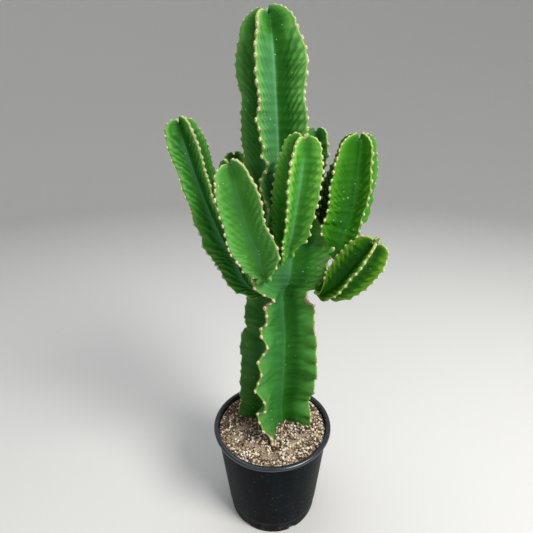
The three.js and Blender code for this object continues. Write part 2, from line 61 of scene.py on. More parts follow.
# ------------------------------------------------------------------ tables
# per station, base to tip, in millimetres and degrees:
# axis x, y, z, reach of ribs 0 to 3, bearing of ribs 0 to 3
STEMS = {
    "central_stem": [
        [2.7, 18.7, 179.5, 78.5, 79.5, 78.5, 79.5, -11, 68, 170, 263],
        [3.1, 18.5, 187.6, 78.8, 79.5, 78.8, 79.5, -11, 68, 170, 263],
        [3.6, 18.3, 198.3, 79.3, 79.5, 79, 79.5, -11, 68, 170, 262.9],
        [4.1, 18.2, 210.4, 79.3, 79.4, 79.2, 79.4, -11, 68, 170, 262.6],
        [4.7, 18, 222.9, 79, 79.3, 78.7, 79.3, -11.8, 68, 169.1, 261.3],
        [5.2, 17.8, 235.6, 78.6, 79.1, 77, 79.1, -13.1, 68, 167.7, 258.7],
        [5.7, 17.7, 248.2, 77.9, 79, 78.3, 79, -14.5, 68, 166.2, 255.2],
        [6.3, 17.5, 260.9, 76.9, 79.2, 78.8, 79.2, -15.8, 68, 164.8, 252.1],
        [6.9, 17.3, 273.6, 77.2, 79.7, 78.9, 79.7, -17.1, 68, 163.3, 250],
        [7.7, 17, 286.2, 79.3, 80.4, 81.1, 80.4, -18.4, 68, 161.9, 248.8],
        [9.3, 16.5, 311.5, 83.8, 81.9, 82.3, 81.9, -21.1, 68, 159, 247.7],
        [10, 16.2, 324.2, 84.3, 82.4, 82.2, 82.4, -22, 68, 158, 247.3],
        [10.7, 15.9, 336.9, 83.9, 82.7, 81.8, 82.7, -22, 68, 158, 247],
        [11.3, 15.6, 349.5, 83.6, 82.8, 82.6, 82.8, -22, 68, 158, 246.5],
        [11.8, 15.4, 362.2, 83.4, 82.7, 84.6, 82.7, -22, 68, 158, 246],
        [12.5, 15.2, 374.9, 82.7, 82.2, 85.4, 82.2, -22, 68, 158, 245.7],
        [13.1, 14.9, 387.6, 81, 81.2, 84.3, 81.2, -22, 68, 158, 245.4],
        [13.7, 14.7, 400.3, 80.2, 79.8, 82, 79.8, -22, 68, 158, 245.2],
        [14.8, 14.5, 425.6, 77.6, 76.5, 72.5, 76.5, -22, 68, 158, 245],
        [14.9, 14.6, 451, 72.3, 73.9, 73.6, 73.9, -22, 68, 158, 244.9],
        [14.5, 14.8, 463.8, 72.7, 72.9, 73.4, 72.9, -22, 68, 158, 245.1],
        [13.9, 15.1, 476.5, 73.7, 71.7, 71.8, 71.7, -22, 68, 158, 245.8],
        [13.2, 15.4, 489.2, 73.3, 70.5, 68.6, 70.5, -22, 68, 158, 247.2],
        [12.6, 15.7, 501.9, 69.1, 69.7, 65.5, 69.7, -22, 68, 158, 249.2],
        [12.4, 16, 514.7, 59.7, 69.8, 64.5, 69.8, -22, 68, 158, 251.5],
        [12.6, 16.1, 527.4, 58.1, 71.4, 68.5, 71.4, -22, 68, 158, 252.9],
        [13.5, 16, 540, 66.2, 74.4, 76.5, 74.4, -22, 68, 158, 251.7],
        [14.9, 15.9, 552.7, 78.8, 78.1, 81.8, 78.1, -22, 68, 158, 247.4],
        [16.7, 15.5, 565.2, 84.5, 81.5, 84.7, 81.5, -22, 68, 158, 242.4],
        [18.4, 15.1, 577.8, 86.5, 84, 85.6, 84, -22, 68, 158, 239.3],
        [19.8, 14.8, 590.4, 86.1, 85.3, 85.8, 85.3, -22, 68, 158, 238.4],
        [20.6, 14.5, 603.1, 90.1, 85.4, 85.6, 85.4, -22, 68, 158, 238.6],
        [20.5, 14.3, 615.7, 93.6, 84.4, 84.7, 84.4, -22, 68, 158, 239.2],
        [19.6, 14.4, 628.4, 87.9, 82.2, 83.1, 82.2, -22, 68, 158, 240.1],
        [18, 14.7, 641, 79.5, 79.1, 80.7, 79.1, -22, 68, 158, 241.3],
        [16, 15.1, 653.5, 73.5, 75.6, 77.4, 75.6, -22, 68, 158, 243],
        [13.8, 15.5, 666, 69.2, 72.1, 73.6, 72.1, -22, 68, 158, 245.1],
        [11.7, 15.9, 678.6, 66.5, 69, 70, 69, -22, 68, 158, 247.4],
        [10, 16.3, 691.1, 64.9, 66.3, 66.8, 66.3, -22, 68, 158, 249.5],
        [7.8, 16.8, 716.4, 62.6, 62.5, 62, 62.5, -22, 68, 158, 252.2],
        [6.9, 17, 741.8, 60.6, 60, 59.3, 60, -22, 68, 158, 252.8],
        [6.6, 17, 754.5, 59.6, 59.2, 58.3, 59.2, -22, 68, 158, 252.1],
        [6.1, 17.2, 779.8, 57.9, 58.3, 56.5, 58.3, -22, 68, 158, 249.2],
        [5.4, 17.9, 805.2, 57.7, 58.1, 59.3, 58.1, -22, 68, 158, 247],
        [4.4, 18.6, 830.5, 58.3, 57.7, 58.6, 57.7, -22, 68, 158, 246],
        [3.7, 18.8, 843.2, 57.3, 57.3, 57.8, 57.3, -22, 68, 158, 246.3],
        [3.1, 18.9, 855.8, 55.4, 57.1, 56.3, 57.1, -22, 68, 158, 246.7],
        [2.4, 19, 868.5, 55.2, 57.2, 55.3, 57.2, -22, 68, 158, 247],
        [1.6, 19, 881.2, 57.6, 57.6, 55.8, 57.6, -22, 68, 158, 247],
        [0.9, 19.1, 893.8, 59.6, 58.2, 58.8, 58.2, -22, 68, 158, 247.1],
        [0, 19.2, 906.5, 60.7, 58.4, 61.1, 58.4, -22, 68, 158, 247.5],
        [-1, 19.3, 919.1, 60.5, 58, 60.4, 58, -22, 68, 158, 248.3],
        [-2, 19.4, 931.6, 58.6, 56.7, 58, 56.7, -22, 68, 158, 249.3],
        [-3.1, 19.6, 943.7, 54.7, 54.7, 54.9, 54.7, -22, 68, 158, 250.5],
        [-4.1, 19.7, 954.4, 50.5, 52.6, 51.4, 52.6, -22, 68, 158, 251.7],
        [-4.8, 19.7, 962.4, 47.4, 50.7, 48.2, 50.7, -22, 68, 158, 252.5],
    ],
    "arm_left": [
        [-21.8, 24.4, 517.5, 18.3, 19.8, 18.3, 19.8, 32, 122, 212, 294.5],
        [-33.6, 26.6, 522.4, 25.3, 24.3, 25, 24.3, 32, 122, 212, 294.5],
        [-37.9, 27.5, 525.4, 22.7, 26.2, 21.3, 26.2, 32, 122, 212, 294.5],
        [-41.7, 28.3, 529, 27.1, 28.5, 25.8, 28.5, 32, 122, 212, 294.5],
        [-45.1, 29.2, 533, 32.2, 31, 31.2, 31, 32, 122, 212, 294.5],
        [-53.4, 31.5, 546.4, 38.7, 38.3, 38.1, 38.3, 32, 122, 212, 294.5],
        [-55.5, 32.2, 551.2, 41, 40.2, 39.3, 40.2, 32, 122, 212, 294.5],
        [-57.5, 32.8, 556, 46.4, 41.6, 40.1, 41.6, 32, 122, 212, 294.5],
        [-59.3, 33.4, 561, 47.1, 42.6, 40.8, 42.6, 32, 122, 212, 294.5],
        [-72.2, 35.7, 596.9, 40.6, 42.5, 43.2, 42.5, 32, 122, 212, 295.8],
        [-81.1, 33.9, 611, 42.2, 42.5, 41.8, 42.5, 32, 122, 212, 299.6],
        [-90.8, 32.5, 629.8, 43.2, 43.1, 45.1, 43.1, 32, 122, 212, 299.5],
        [-98.3, 31.7, 649.4, 41.5, 41.1, 39.1, 41.1, 32, 122, 212, 298.6],
        [-105.6, 30.2, 669.4, 39.7, 40, 41.7, 40, 32, 122, 212, 297],
        [-114.2, 28.4, 695.1, 37.1, 37.3, 36.3, 37.3, 32, 122, 212, 294.3],
        [-117.7, 27.6, 705.3, 36, 36.5, 35.8, 36.5, 32, 122, 212, 296.2],
        [-124.8, 25.7, 725.7, 34.6, 35.2, 34.8, 35.2, 32, 122, 212, 306],
        [-130.9, 23.7, 746.3, 33, 33.9, 33, 33.9, 32, 122, 212, 305.5],
        [-136.4, 21.7, 767.2, 32.2, 33.3, 32.3, 33.3, 32, 122, 212, 308.4],
        [-143.6, 20.1, 793.4, 33.9, 33.2, 33.2, 33.2, 32, 122, 212, 310.4],
        [-147.9, 19.7, 808.8, 30.4, 31.4, 31, 31.4, 32, 122, 212, 312],
        [-149.8, 19.5, 816.6, 28.8, 30, 28.7, 30, 32, 122, 212, 311.7],
    ],
    "arm_front_left": [
        [-13.4, -44.5, 568.6, 16.2, 17.2, 17.2, 16.2, -45, 45, 135, 225],
        [-12, -47.1, 576, 21.5, 18.1, 18.5, 21.5, -45, 45, 135, 225],
        [-12, -48.3, 578.8, 21.3, 17.1, 17.9, 21.3, -45, 45, 135, 225],
        [-12.2, -49.7, 581.7, 14.8, 15.7, 17, 14.6, -45, 45, 135, 225],
        [-12.7, -51.1, 584.5, 14.8, 14.7, 16.4, 14.4, -45, 45, 135, 225],
        [-14.2, -54, 590, 19.5, 15.1, 17.6, 18.7, -45, 45, 135, 225],
        [-17.5, -58.5, 601.6, 31, 21.5, 25.3, 29.1, -45, 45, 135, 225],
        [-19, -59.9, 607.7, 36.5, 24.9, 29.3, 35.6, -45, 45, 135, 225],
        [-19.6, -60.4, 610.9, 38.3, 26.4, 31, 38.5, -45, 45, 135, 225],
        [-20.9, -61.7, 620.5, 42.2, 29.5, 34.7, 43.6, -45, 45, 135, 225],
        [-21.7, -62.6, 627, 44.8, 30.7, 36.1, 44.7, -45, 45, 135, 225],
        [-24.1, -64, 636.3, 46.2, 31.7, 37.3, 45.8, -45, 45, 135, 225],
        [-31.1, -67.3, 653.9, 48.8, 33, 38.9, 48.7, -45, 45, 135, 225],
        [-34.8, -68.8, 662.6, 47.6, 32.6, 38.3, 48.4, -45, 45, 135, 225],
        [-38.1, -70.2, 671.6, 45.2, 31.4, 36.9, 45, -45, 45, 135, 225],
        [-42.4, -72.5, 686.9, 43.2, 30.1, 35.4, 43.4, -45, 45, 135, 225],
        [-43.7, -73.4, 693.1, 43.4, 30, 35.3, 43.1, -45, 45, 135, 225],
        [-47.8, -76.9, 715, 44.8, 30.4, 35.7, 44.7, -45, 45, 135, 225],
        [-52.6, -80.8, 736.7, 43.5, 29.1, 34.2, 43.4, -45, 45, 135, 225],
        [-53.5, -81.3, 739.8, 42.9, 28.5, 33.6, 42.5, -45, 45, 135, 225],
        [-57.2, -83.3, 751.7, 36.6, 25.4, 29.9, 36.9, -45, 45, 135, 225],
        [-58.4, -83.8, 756.2, 34.3, 24.2, 28.5, 34.6, -45, 45, 135, 225],
    ],
    "arm_front_centre": [
        [26.1, -17, 593.6, 12.8, 13.3, 13.1, 13.3, -22, 68, 158, 232],
        [26.3, -19.4, 597.9, 14.1, 14.2, 14, 14.2, -22, 68, 158, 232],
        [26.4, -22.3, 603.6, 15.6, 15.5, 15.2, 15.5, -22, 68, 158, 232.4],
        [26.5, -24.9, 609.7, 17.1, 16.6, 16.5, 16.6, -22, 68, 158, 235.2],
        [26.5, -26.1, 612.8, 16.5, 17, 17.1, 17, -22, 68, 158, 237.4],
        [26.5, -27.3, 615.9, 12.5, 17.4, 17.8, 17.4, -22, 68, 158, 239.6],
        [26.5, -28.4, 619, 13.2, 18.1, 18.6, 18.1, -22, 68, 158, 241.7],
        [26.7, -30.4, 625.3, 17.2, 20.3, 20.6, 20.3, -22, 68, 158, 244.8],
        [27.3, -32.5, 631.7, 20.8, 23.1, 23.2, 23.1, -22, 68, 158, 246.4],
        [29.7, -37.6, 647.3, 29.6, 29.6, 28.8, 29.6, -22, 68, 158, 247],
        [31.2, -40.6, 656.6, 32.1, 32.1, 31.7, 32.1, -22, 68, 158, 247.1],
        [31.5, -41.6, 659.7, 32.9, 32.6, 32.1, 32.6, -22, 68, 158, 247.6],
        [32, -45.1, 672.4, 33.1, 34, 33.7, 34, -22, 68, 158, 250],
        [32.5, -46.9, 678.6, 34, 34.7, 34.6, 34.7, -22, 68, 158, 250.8],
        [34.6, -51.6, 694.1, 36.3, 36.2, 35.8, 36.2, -22, 68, 158, 250.6],
        [36.4, -55.9, 709.7, 36.1, 36.9, 36.6, 36.9, -22, 68, 158, 248],
        [38.5, -59.5, 725.5, 37.6, 37.6, 37.4, 37.6, -22, 68, 158, 245.8],
        [39.7, -61.2, 735.1, 37.1, 37.4, 37.1, 37.4, -22, 68, 158, 243.8],
        [42.4, -64.2, 758, 36.3, 36.6, 36.5, 36.6, -22, 68, 158, 243],
        [44, -66, 771.1, 34.6, 34.8, 34.6, 34.8, -22, 68, 158, 242],
        [45.7, -67.8, 783.9, 30.3, 31.4, 30.2, 31.4, -22, 68, 158, 241.6],
        [46.3, -68.4, 788.7, 28.9, 30.2, 28.7, 30.2, -22, 68, 158, 241.2],
    ],
    "arm_right": [
        [104.7, -15.6, 603.9, 13, 13, 14.5, 13, -51, 39, 129, 219],
        [107.7, -14.5, 607, 17.5, 17.5, 17.8, 17.5, -51, 39, 129, 219],
        [113.3, -12.6, 613.8, 23.1, 23.8, 24.9, 24.4, -51, 39, 129, 219],
        [116.6, -11.3, 618.9, 24.3, 31.1, 30.6, 38.9, -51, 39, 129, 219],
        [118.1, -10.7, 621.5, 24.9, 34.2, 33.3, 44.7, -51, 39, 129, 219],
        [119.6, -10.2, 624.2, 25.7, 36.8, 35.7, 49.4, -51, 39, 129, 219],
        [120.9, -9.6, 627, 26.6, 38.6, 37.7, 52.1, -51, 39, 129, 219],
        [126.5, -6.9, 641.5, 30.5, 43.6, 43.2, 56.9, -51, 39, 129, 219],
        [129.8, -5.2, 650.4, 32.2, 44.6, 44.8, 56.4, -51, 39, 129, 219],
        [131.8, -4.4, 656.3, 31.6, 45.9, 45.7, 60, -51, 39, 129, 219],
        [132.5, -4.4, 659.4, 31.2, 45.8, 46.2, 60.2, -51, 39, 129, 219],
        [133.2, -4.4, 662.4, 30.8, 47.7, 46.9, 59.6, -51, 39, 129, 219],
        [134, -4.4, 665.4, 30.4, 56.7, 47.5, 59.1, -51, 39, 129, 219],
        [134.7, -4.4, 668.3, 29.9, 58.9, 48, 58.8, -51, 39, 129, 219],
        [138.3, -4.9, 683.3, 29.3, 58.5, 48.5, 58.4, -51, 39, 129, 219],
        [140.1, -6.1, 695.6, 30.3, 58.5, 48.7, 58.6, -51, 39, 129, 219],
        [140.8, -7.7, 708, 31.7, 58.4, 49.1, 57.8, -51, 39, 129, 219],
        [141, -10.1, 726.3, 34, 59, 49.9, 59.3, -51, 39, 129, 219],
        [142.1, -11.7, 750.7, 31.1, 57.4, 48, 57.4, -51, 39, 129, 219],
        [141.9, -14.1, 765.6, 29.9, 52.8, 45.2, 54.1, -51, 39, 129, 219],
        [142.2, -15.9, 777.7, 28.6, 49.3, 42.2, 48.3, -51, 39, 129, 219],
        [142.2, -16.3, 785.1, 27.4, 47.5, 40.6, 46, -51, 39, 129, 219],
    ],
    "arm_lower_right": [
        [83.6, -14.4, 540.4, 12.3, 12.3, 12.3, 12.3, -24, 66, 156, 246],
        [86.4, -15.5, 538.8, 14.1, 14.1, 14.1, 14.1, -24, 66, 156, 246],
        [90.3, -16.9, 537.4, 16.6, 16.6, 16.6, 16.6, -24, 66, 156, 246],
        [94.4, -18.3, 536.8, 19.2, 19.2, 19.2, 19.2, -24, 66, 156, 246],
        [98.6, -19.8, 537, 21.8, 21.8, 21.8, 21.8, -24, 66, 156, 246],
        [102.7, -21.2, 537.9, 24.2, 24.2, 24.2, 24.2, -24, 66, 156, 246],
        [108.7, -23.3, 540.3, 27.4, 27.4, 27.4, 27.4, -24, 66, 156, 246],
        [112.5, -24.7, 542.4, 29.2, 29.2, 29.2, 29.2, -24, 66, 156, 246],
        [117.6, -26.7, 546.3, 31.3, 31.3, 31.3, 31.3, -24, 66, 156, 246],
        [125, -30, 554, 33.9, 33.9, 33.9, 33.9, -24, 66, 156, 246],
        [131.6, -33.1, 562.6, 35.7, 35.7, 35.7, 35.7, -24, 66, 156, 246],
        [135.3, -34.8, 567.9, 36.4, 36.4, 36.4, 36.4, -24, 66, 156, 246],
        [140.1, -37, 575.1, 37.3, 37.3, 37.3, 37.3, -24, 66, 156, 246],
        [143.5, -38.6, 580.7, 37.7, 37.7, 37.7, 37.7, -24, 66, 156, 246],
        [146.8, -40.3, 586.3, 37.8, 37.8, 37.8, 37.8, -24, 66, 156, 246],
        [149.9, -41.9, 591.9, 37.7, 37.7, 37.7, 37.7, -24, 66, 156, 246],
        [153, -43.7, 597.6, 37.3, 37.3, 37.3, 37.3, -24, 66, 156, 246],
        [155.9, -45.5, 603.4, 36.9, 36.9, 36.9, 36.9, -24, 66, 156, 246],
        [159.7, -47.9, 611.1, 35.9, 35.9, 35.9, 35.9, -24, 66, 156, 246],
        [162.5, -49.9, 616.9, 34.7, 34.7, 34.7, 34.7, -24, 66, 156, 246],
        [166, -52.6, 624.5, 32.1, 32.1, 32.1, 32.1, -24, 66, 156, 246],
        [167.3, -53.6, 627.3, 31, 31, 31, 31, -24, 66, 156, 246],
    ],
    "arm_back_right": [
        [48.9, 34.8, 583.8, 19.6, 20.1, 20.1, 20.1, -50, 40, 130, 220],
        [49.7, 35.7, 585.8, 20.2, 20.5, 20.5, 20.5, -50, 40, 130, 220],
        [50.8, 36.8, 588.4, 21, 21.1, 21.1, 21.1, -50, 40, 130, 220],
        [56.7, 43.2, 604.4, 24.6, 24.4, 24.4, 24.4, -50, 40, 130, 220],
        [58.9, 45.6, 610.9, 25.9, 25.1, 25.1, 25.1, -50, 40, 130, 220],
        [60, 46.8, 614.2, 25.9, 25.1, 25.1, 25.1, -50, 40, 130, 220],
        [61, 47.9, 617.6, 24.1, 24.9, 24.9, 24.9, -50, 40, 130, 220],
        [62.9, 50.1, 624.3, 23.7, 24.6, 24.6, 24.6, -50, 40, 130, 220],
        [68.8, 57.3, 648.1, 25.1, 25.9, 25.9, 25.9, -50, 40, 130, 220],
        [71.5, 61.1, 662, 26.6, 27, 27, 27, -50, 40, 130, 220],
        [73.3, 63.8, 672.5, 26.7, 27.4, 27.4, 27.4, -50, 40, 130, 220],
        [77, 70.7, 700.8, 27.7, 28.3, 28.3, 28.3, -50, 40, 130, 220],
        [78.6, 74.9, 718.5, 28.4, 28.9, 28.9, 28.9, -50, 40, 130, 220],
        [80, 78.8, 736.3, 29.1, 29.7, 29.7, 29.7, -50, 40, 130, 220],
        [80.2, 79.5, 739.9, 29.5, 30.1, 30.1, 30.1, -50, 40, 130, 220],
        [81.1, 82.3, 754.3, 32.6, 32.3, 32.3, 32.3, -50, 40, 130, 220],
        [82.1, 84.8, 768.6, 34.6, 33.8, 33.8, 33.8, -50, 40, 130, 220],
        [82.8, 86.5, 779.5, 34.6, 33.8, 33.8, 33.8, -50, 40, 130, 220],
        [83.2, 87.7, 786.7, 34.4, 33.3, 33.3, 33.3, -50, 40, 130, 220],
        [83.6, 88.8, 793.7, 33, 32.5, 32.5, 32.5, -50, 40, 130, 220],
        [83.8, 89.3, 796.8, 32.4, 32, 32, 32, -50, 40, 130, 220],
        [84, 89.7, 799, 31.9, 31.7, 31.7, 31.7, -50, 40, 130, 220],
    ],
    "arm_back_right_low": [
        [71.4, 26.2, 593.9, 15.9, 15.9, 15.5, 15.9, -30, 60, 150, 240],
        [72.6, 26.5, 595.3, 16.4, 16.4, 16.1, 16.4, -30, 60, 150, 240],
        [75.9, 27.2, 599.3, 17.7, 17.7, 17.7, 17.7, -30, 60, 150, 240],
        [88.1, 30.5, 615.5, 22.7, 22.7, 22.8, 22.7, -30, 60, 150, 240],
        [91.4, 31.5, 620.3, 23.4, 23.4, 24.1, 23.4, -30, 60, 150, 240],
        [93, 32, 622.7, 23.2, 23.2, 24.8, 23.2, -30, 60, 150, 240],
        [94.5, 32.5, 625.1, 22.7, 22.7, 24, 22.7, -30, 60, 150, 240],
        [96.1, 33.1, 627.6, 22.1, 22.1, 19.2, 22.1, -30, 60, 150, 240],
        [97.6, 33.6, 630.1, 21.6, 21.6, 18.8, 21.6, -30, 60, 150, 240],
        [100.5, 34.5, 635.1, 22, 22, 20.6, 22, -30, 60, 150, 240],
        [105.8, 36.4, 645.4, 24.7, 24.7, 23.8, 24.7, -30, 60, 150, 240],
        [110.3, 38, 656.1, 27, 27, 26.1, 27, -30, 60, 150, 240],
        [115, 39.6, 669.9, 29.1, 29.1, 28.5, 29.1, -30, 60, 150, 240],
        [121.1, 42, 692.5, 31.5, 31.5, 31.2, 31.5, -30, 60, 150, 240],
        [126.2, 44.7, 712.2, 32.4, 32.4, 32.4, 32.4, -30, 60, 150, 240],
        [129, 46.5, 723.4, 32.4, 32.4, 32.7, 32.4, -30, 60, 150, 240],
        [130.4, 47.5, 729, 31.8, 31.8, 31.9, 31.8, -30, 60, 150, 240],
        [132.3, 48.9, 737.5, 30.1, 30.1, 30, 30.1, -30, 60, 150, 240],
        [134.6, 50.6, 748.9, 26.8, 26.8, 26.3, 26.8, -30, 60, 150, 240],
        [135.6, 51.3, 754.4, 25, 25, 24, 25, -30, 60, 150, 240],
        [136, 51.6, 756.9, 24.2, 24.2, 22.8, 24.2, -30, 60, 150, 240],
        [136.3, 51.8, 758.7, 23.6, 23.6, 22, 23.6, -30, 60, 150, 240],
    ],
    "arm_back_left": [
        [-1.8, 44.8, 563.4, 18.6, 18.6, 18.6, 18.6, -45, 45, 135, 225],
        [-3.3, 45.7, 564.9, 19.2, 19.2, 19.2, 19.2, -45, 45, 135, 225],
        [-7.4, 48.2, 569.1, 20.6, 20.6, 20.6, 20.6, -45, 45, 135, 225],
        [-13.7, 52.3, 576.6, 23, 23, 23, 23, -45, 45, 135, 225],
        [-19.3, 56.3, 584.6, 25.1, 25.1, 25.1, 25.1, -45, 45, 135, 225],
        [-24.4, 60.2, 593.1, 27.1, 27.1, 27.1, 27.1, -45, 45, 135, 225],
        [-30.4, 65, 605.1, 29.2, 29.2, 29.2, 29.2, -45, 45, 135, 225],
        [-34.3, 68.3, 614.4, 29.9, 29.9, 29.9, 29.9, -45, 45, 135, 225],
        [-38.8, 72.3, 627.3, 30.3, 30.3, 30.3, 30.3, -45, 45, 135, 225],
        [-40.9, 74.1, 633.8, 30.5, 30.5, 30.5, 30.5, -45, 45, 135, 225],
        [-43.6, 76.7, 643.8, 30.6, 30.6, 30.6, 30.6, -45, 45, 135, 225],
        [-45.3, 78.3, 650.5, 30.7, 30.7, 30.7, 30.7, -45, 45, 135, 225],
        [-47.7, 80.6, 660.6, 30.7, 30.7, 30.7, 30.7, -45, 45, 135, 225],
        [-50.5, 83.5, 674.2, 30.7, 30.7, 30.7, 30.7, -45, 45, 135, 225],
        [-53, 86.4, 687.9, 30.6, 30.6, 30.6, 30.6, -45, 45, 135, 225],
        [-55.6, 89.3, 701.5, 30.3, 30.3, 30.3, 30.3, -45, 45, 135, 225],
        [-58.3, 92.2, 715.1, 29.9, 29.9, 29.9, 29.9, -45, 45, 135, 225],
        [-62.2, 95.9, 732, 29, 29, 29, 29, -45, 45, 135, 225],
        [-64.7, 98.2, 742, 27.9, 27.9, 27.9, 27.9, -45, 45, 135, 225],
        [-67, 100.6, 752.1, 26.6, 26.6, 26.6, 26.6, -45, 45, 135, 225],
        [-68.2, 102, 758.2, 25.9, 25.9, 25.9, 25.9, -45, 45, 135, 225],
        [-68.5, 102.5, 760.4, 25.7, 25.7, 25.7, 25.7, -45, 45, 135, 225],
    ],
}
WAVE3 = [(212.4, 4.9), (224.6, 5.3), (240.2, -6.3), (261.6, -7.6), (282.2, -10), (292.3, 6.6), (316.7, 7.8), (338.7, -12.3), (357.1, -5.9), (377.8, 0.6), (401.8, -8.1), (420.5, 1), (438.1, 8.9), (456.5, -3.1), (472.7, -6.7), (480.9, 4.1), (498.5, 3), (514.6, -4.3), (524.7, 3), (533.3, 12.4), (540.8, 7.1), (541.4, -7), (549.3, -17.4), (565.6, -14), (574.2, -10.2), (608.5, -2.5), (648.5, 0.4), (676.4, 5.7), (693.4, 8.2), (706.5, 1.9), (724.7, -6.5), (741.7, -7.4), (754.1, 1.6), (766.6, 8.7), (777, -1.9), (790.4, 4.6), (802.4, -0.2), (817.8, 0.4), (832.9, -4.4), (847.1, 0.6), (859.5, 1.5), (871.6, 1.3), (885.6, 0.2), (901.8, -0.7), (921.5, 0.4), (937.2, -1.4), (950.9, 0.2), (962.4, 0.8)]
# height and reach of the outer margins of the central stem, ribs 0 and 2
EDGE = {
    0: [
        (212, 79.3), (224.5, 79), (237, 78.7), (249.5, 77.8), (262, 76.5), (267, 76), (269.5, 76.1), (282, 78.5), (294.5, 80.9), (307, 83.5),
        (312, 84.2), (324.5, 84.3), (337, 83.9), (349.5, 83.6), (362, 83.4), (372, 83.3), (384.5, 81.3), (389.5, 80.6), (402, 80.1), (409.5, 79.8),
        (422, 78.2), (434.5, 76.4), (437, 75.9), (439.5, 74.8), (444.5, 72.1), (447, 71.3), (454.5, 71.7), (467, 73), (479.5, 74.2), (484.5, 74.2),
        (497, 73.4), (499.5, 73), (502, 70.5), (504.5, 65.5), (507, 61.5), (509.5, 59.9), (517, 56.6), (519.5, 55.8), (524.5, 56), (534.5, 56.8),
        (537, 58.8), (539.5, 63.9), (542, 69.7), (544.5, 75), (547, 78.4), (549.5, 79.6), (562, 84), (574.5, 87.2), (577, 87.4), (582, 87),
        (584.5, 86.6), (592, 84.5), (594.5, 84.7), (597, 86), (609.5, 94.4), (612, 96.1), (614.5, 96.5), (624.5, 91.1), (627, 89.4), (634.5, 83.5),
        (639.5, 79.9), (642, 78.3), (647, 75.9), (659.5, 71.1), (669.5, 67.7), (672, 67.1), (684.5, 65.7), (697, 64), (709.5, 63.1), (722, 62.1),
        (734.5, 61.2), (747, 60.2), (759.5, 59.1), (772, 58.3), (784.5, 57.7), (797, 57.7), (809.5, 57.8), (819.5, 58), (829.5, 58.5), (842, 57.6),
        (854.5, 55.4), (859.5, 54.8), (867, 54.6), (869.5, 54.7), (879.5, 57.4), (892, 59.5), (904.5, 60.7), (909.5, 61.1), (917, 61), (929.5, 59.6),
        (932, 59), (944.5, 54.3), (954.5, 50.4),
    ],
    2: [
        (212, 79.2), (219.5, 79.5), (222, 79.4), (234.5, 76.2), (237, 75.6), (239.5, 75.6), (252, 80), (254.5, 80.2), (267, 77.9), (269.5, 77.5),
        (272, 77.8), (284.5, 81.4), (297, 81.9), (309.5, 82.3), (322, 82.4), (334.5, 81.8), (344.5, 81.2), (347, 81.5), (354.5, 83.8), (357, 84.3),
        (369.5, 85.6), (372, 85.9), (374.5, 85.9), (387, 84.4), (399.5, 82.8), (407, 79.7), (419.5, 74), (427, 70.6), (429.5, 70), (432, 70.6),
        (437, 72.5), (439.5, 73.1), (452, 73.8), (462, 73.7), (472, 73), (477, 72), (489.5, 68.4), (497, 66.3), (509.5, 63.7), (512, 63.4),
        (522, 64.1), (524.5, 65.2), (529.5, 69.6), (534.5, 74.4), (537, 76.1), (549.5, 81), (557, 83.9), (559.5, 84.6), (572, 85.4), (584.5, 85.8),
        (597, 85.8), (609.5, 85.2), (622, 84), (629.5, 83), (642, 80.5), (654.5, 77.2), (667, 73.2), (679.5, 69.7), (692, 66.6), (704.5, 63.9),
        (717, 61.9), (729.5, 60.4), (742, 59.3), (754.5, 58.3), (767, 57.2), (779.5, 56), (782, 56.2), (794.5, 58.4), (804.5, 59.6), (817, 58.9),
        (829.5, 58.7), (837, 58.5), (849.5, 57.3), (859.5, 55.5), (864.5, 55.1), (877, 55.2), (882, 55.2), (884.5, 55.6), (889.5, 57.7), (902, 60.9),
        (904.5, 61.4), (907, 61.6), (919.5, 60.6), (924.5, 59.9), (937, 56.9), (949.5, 53.1), (954.5, 51.4),
    ],
}
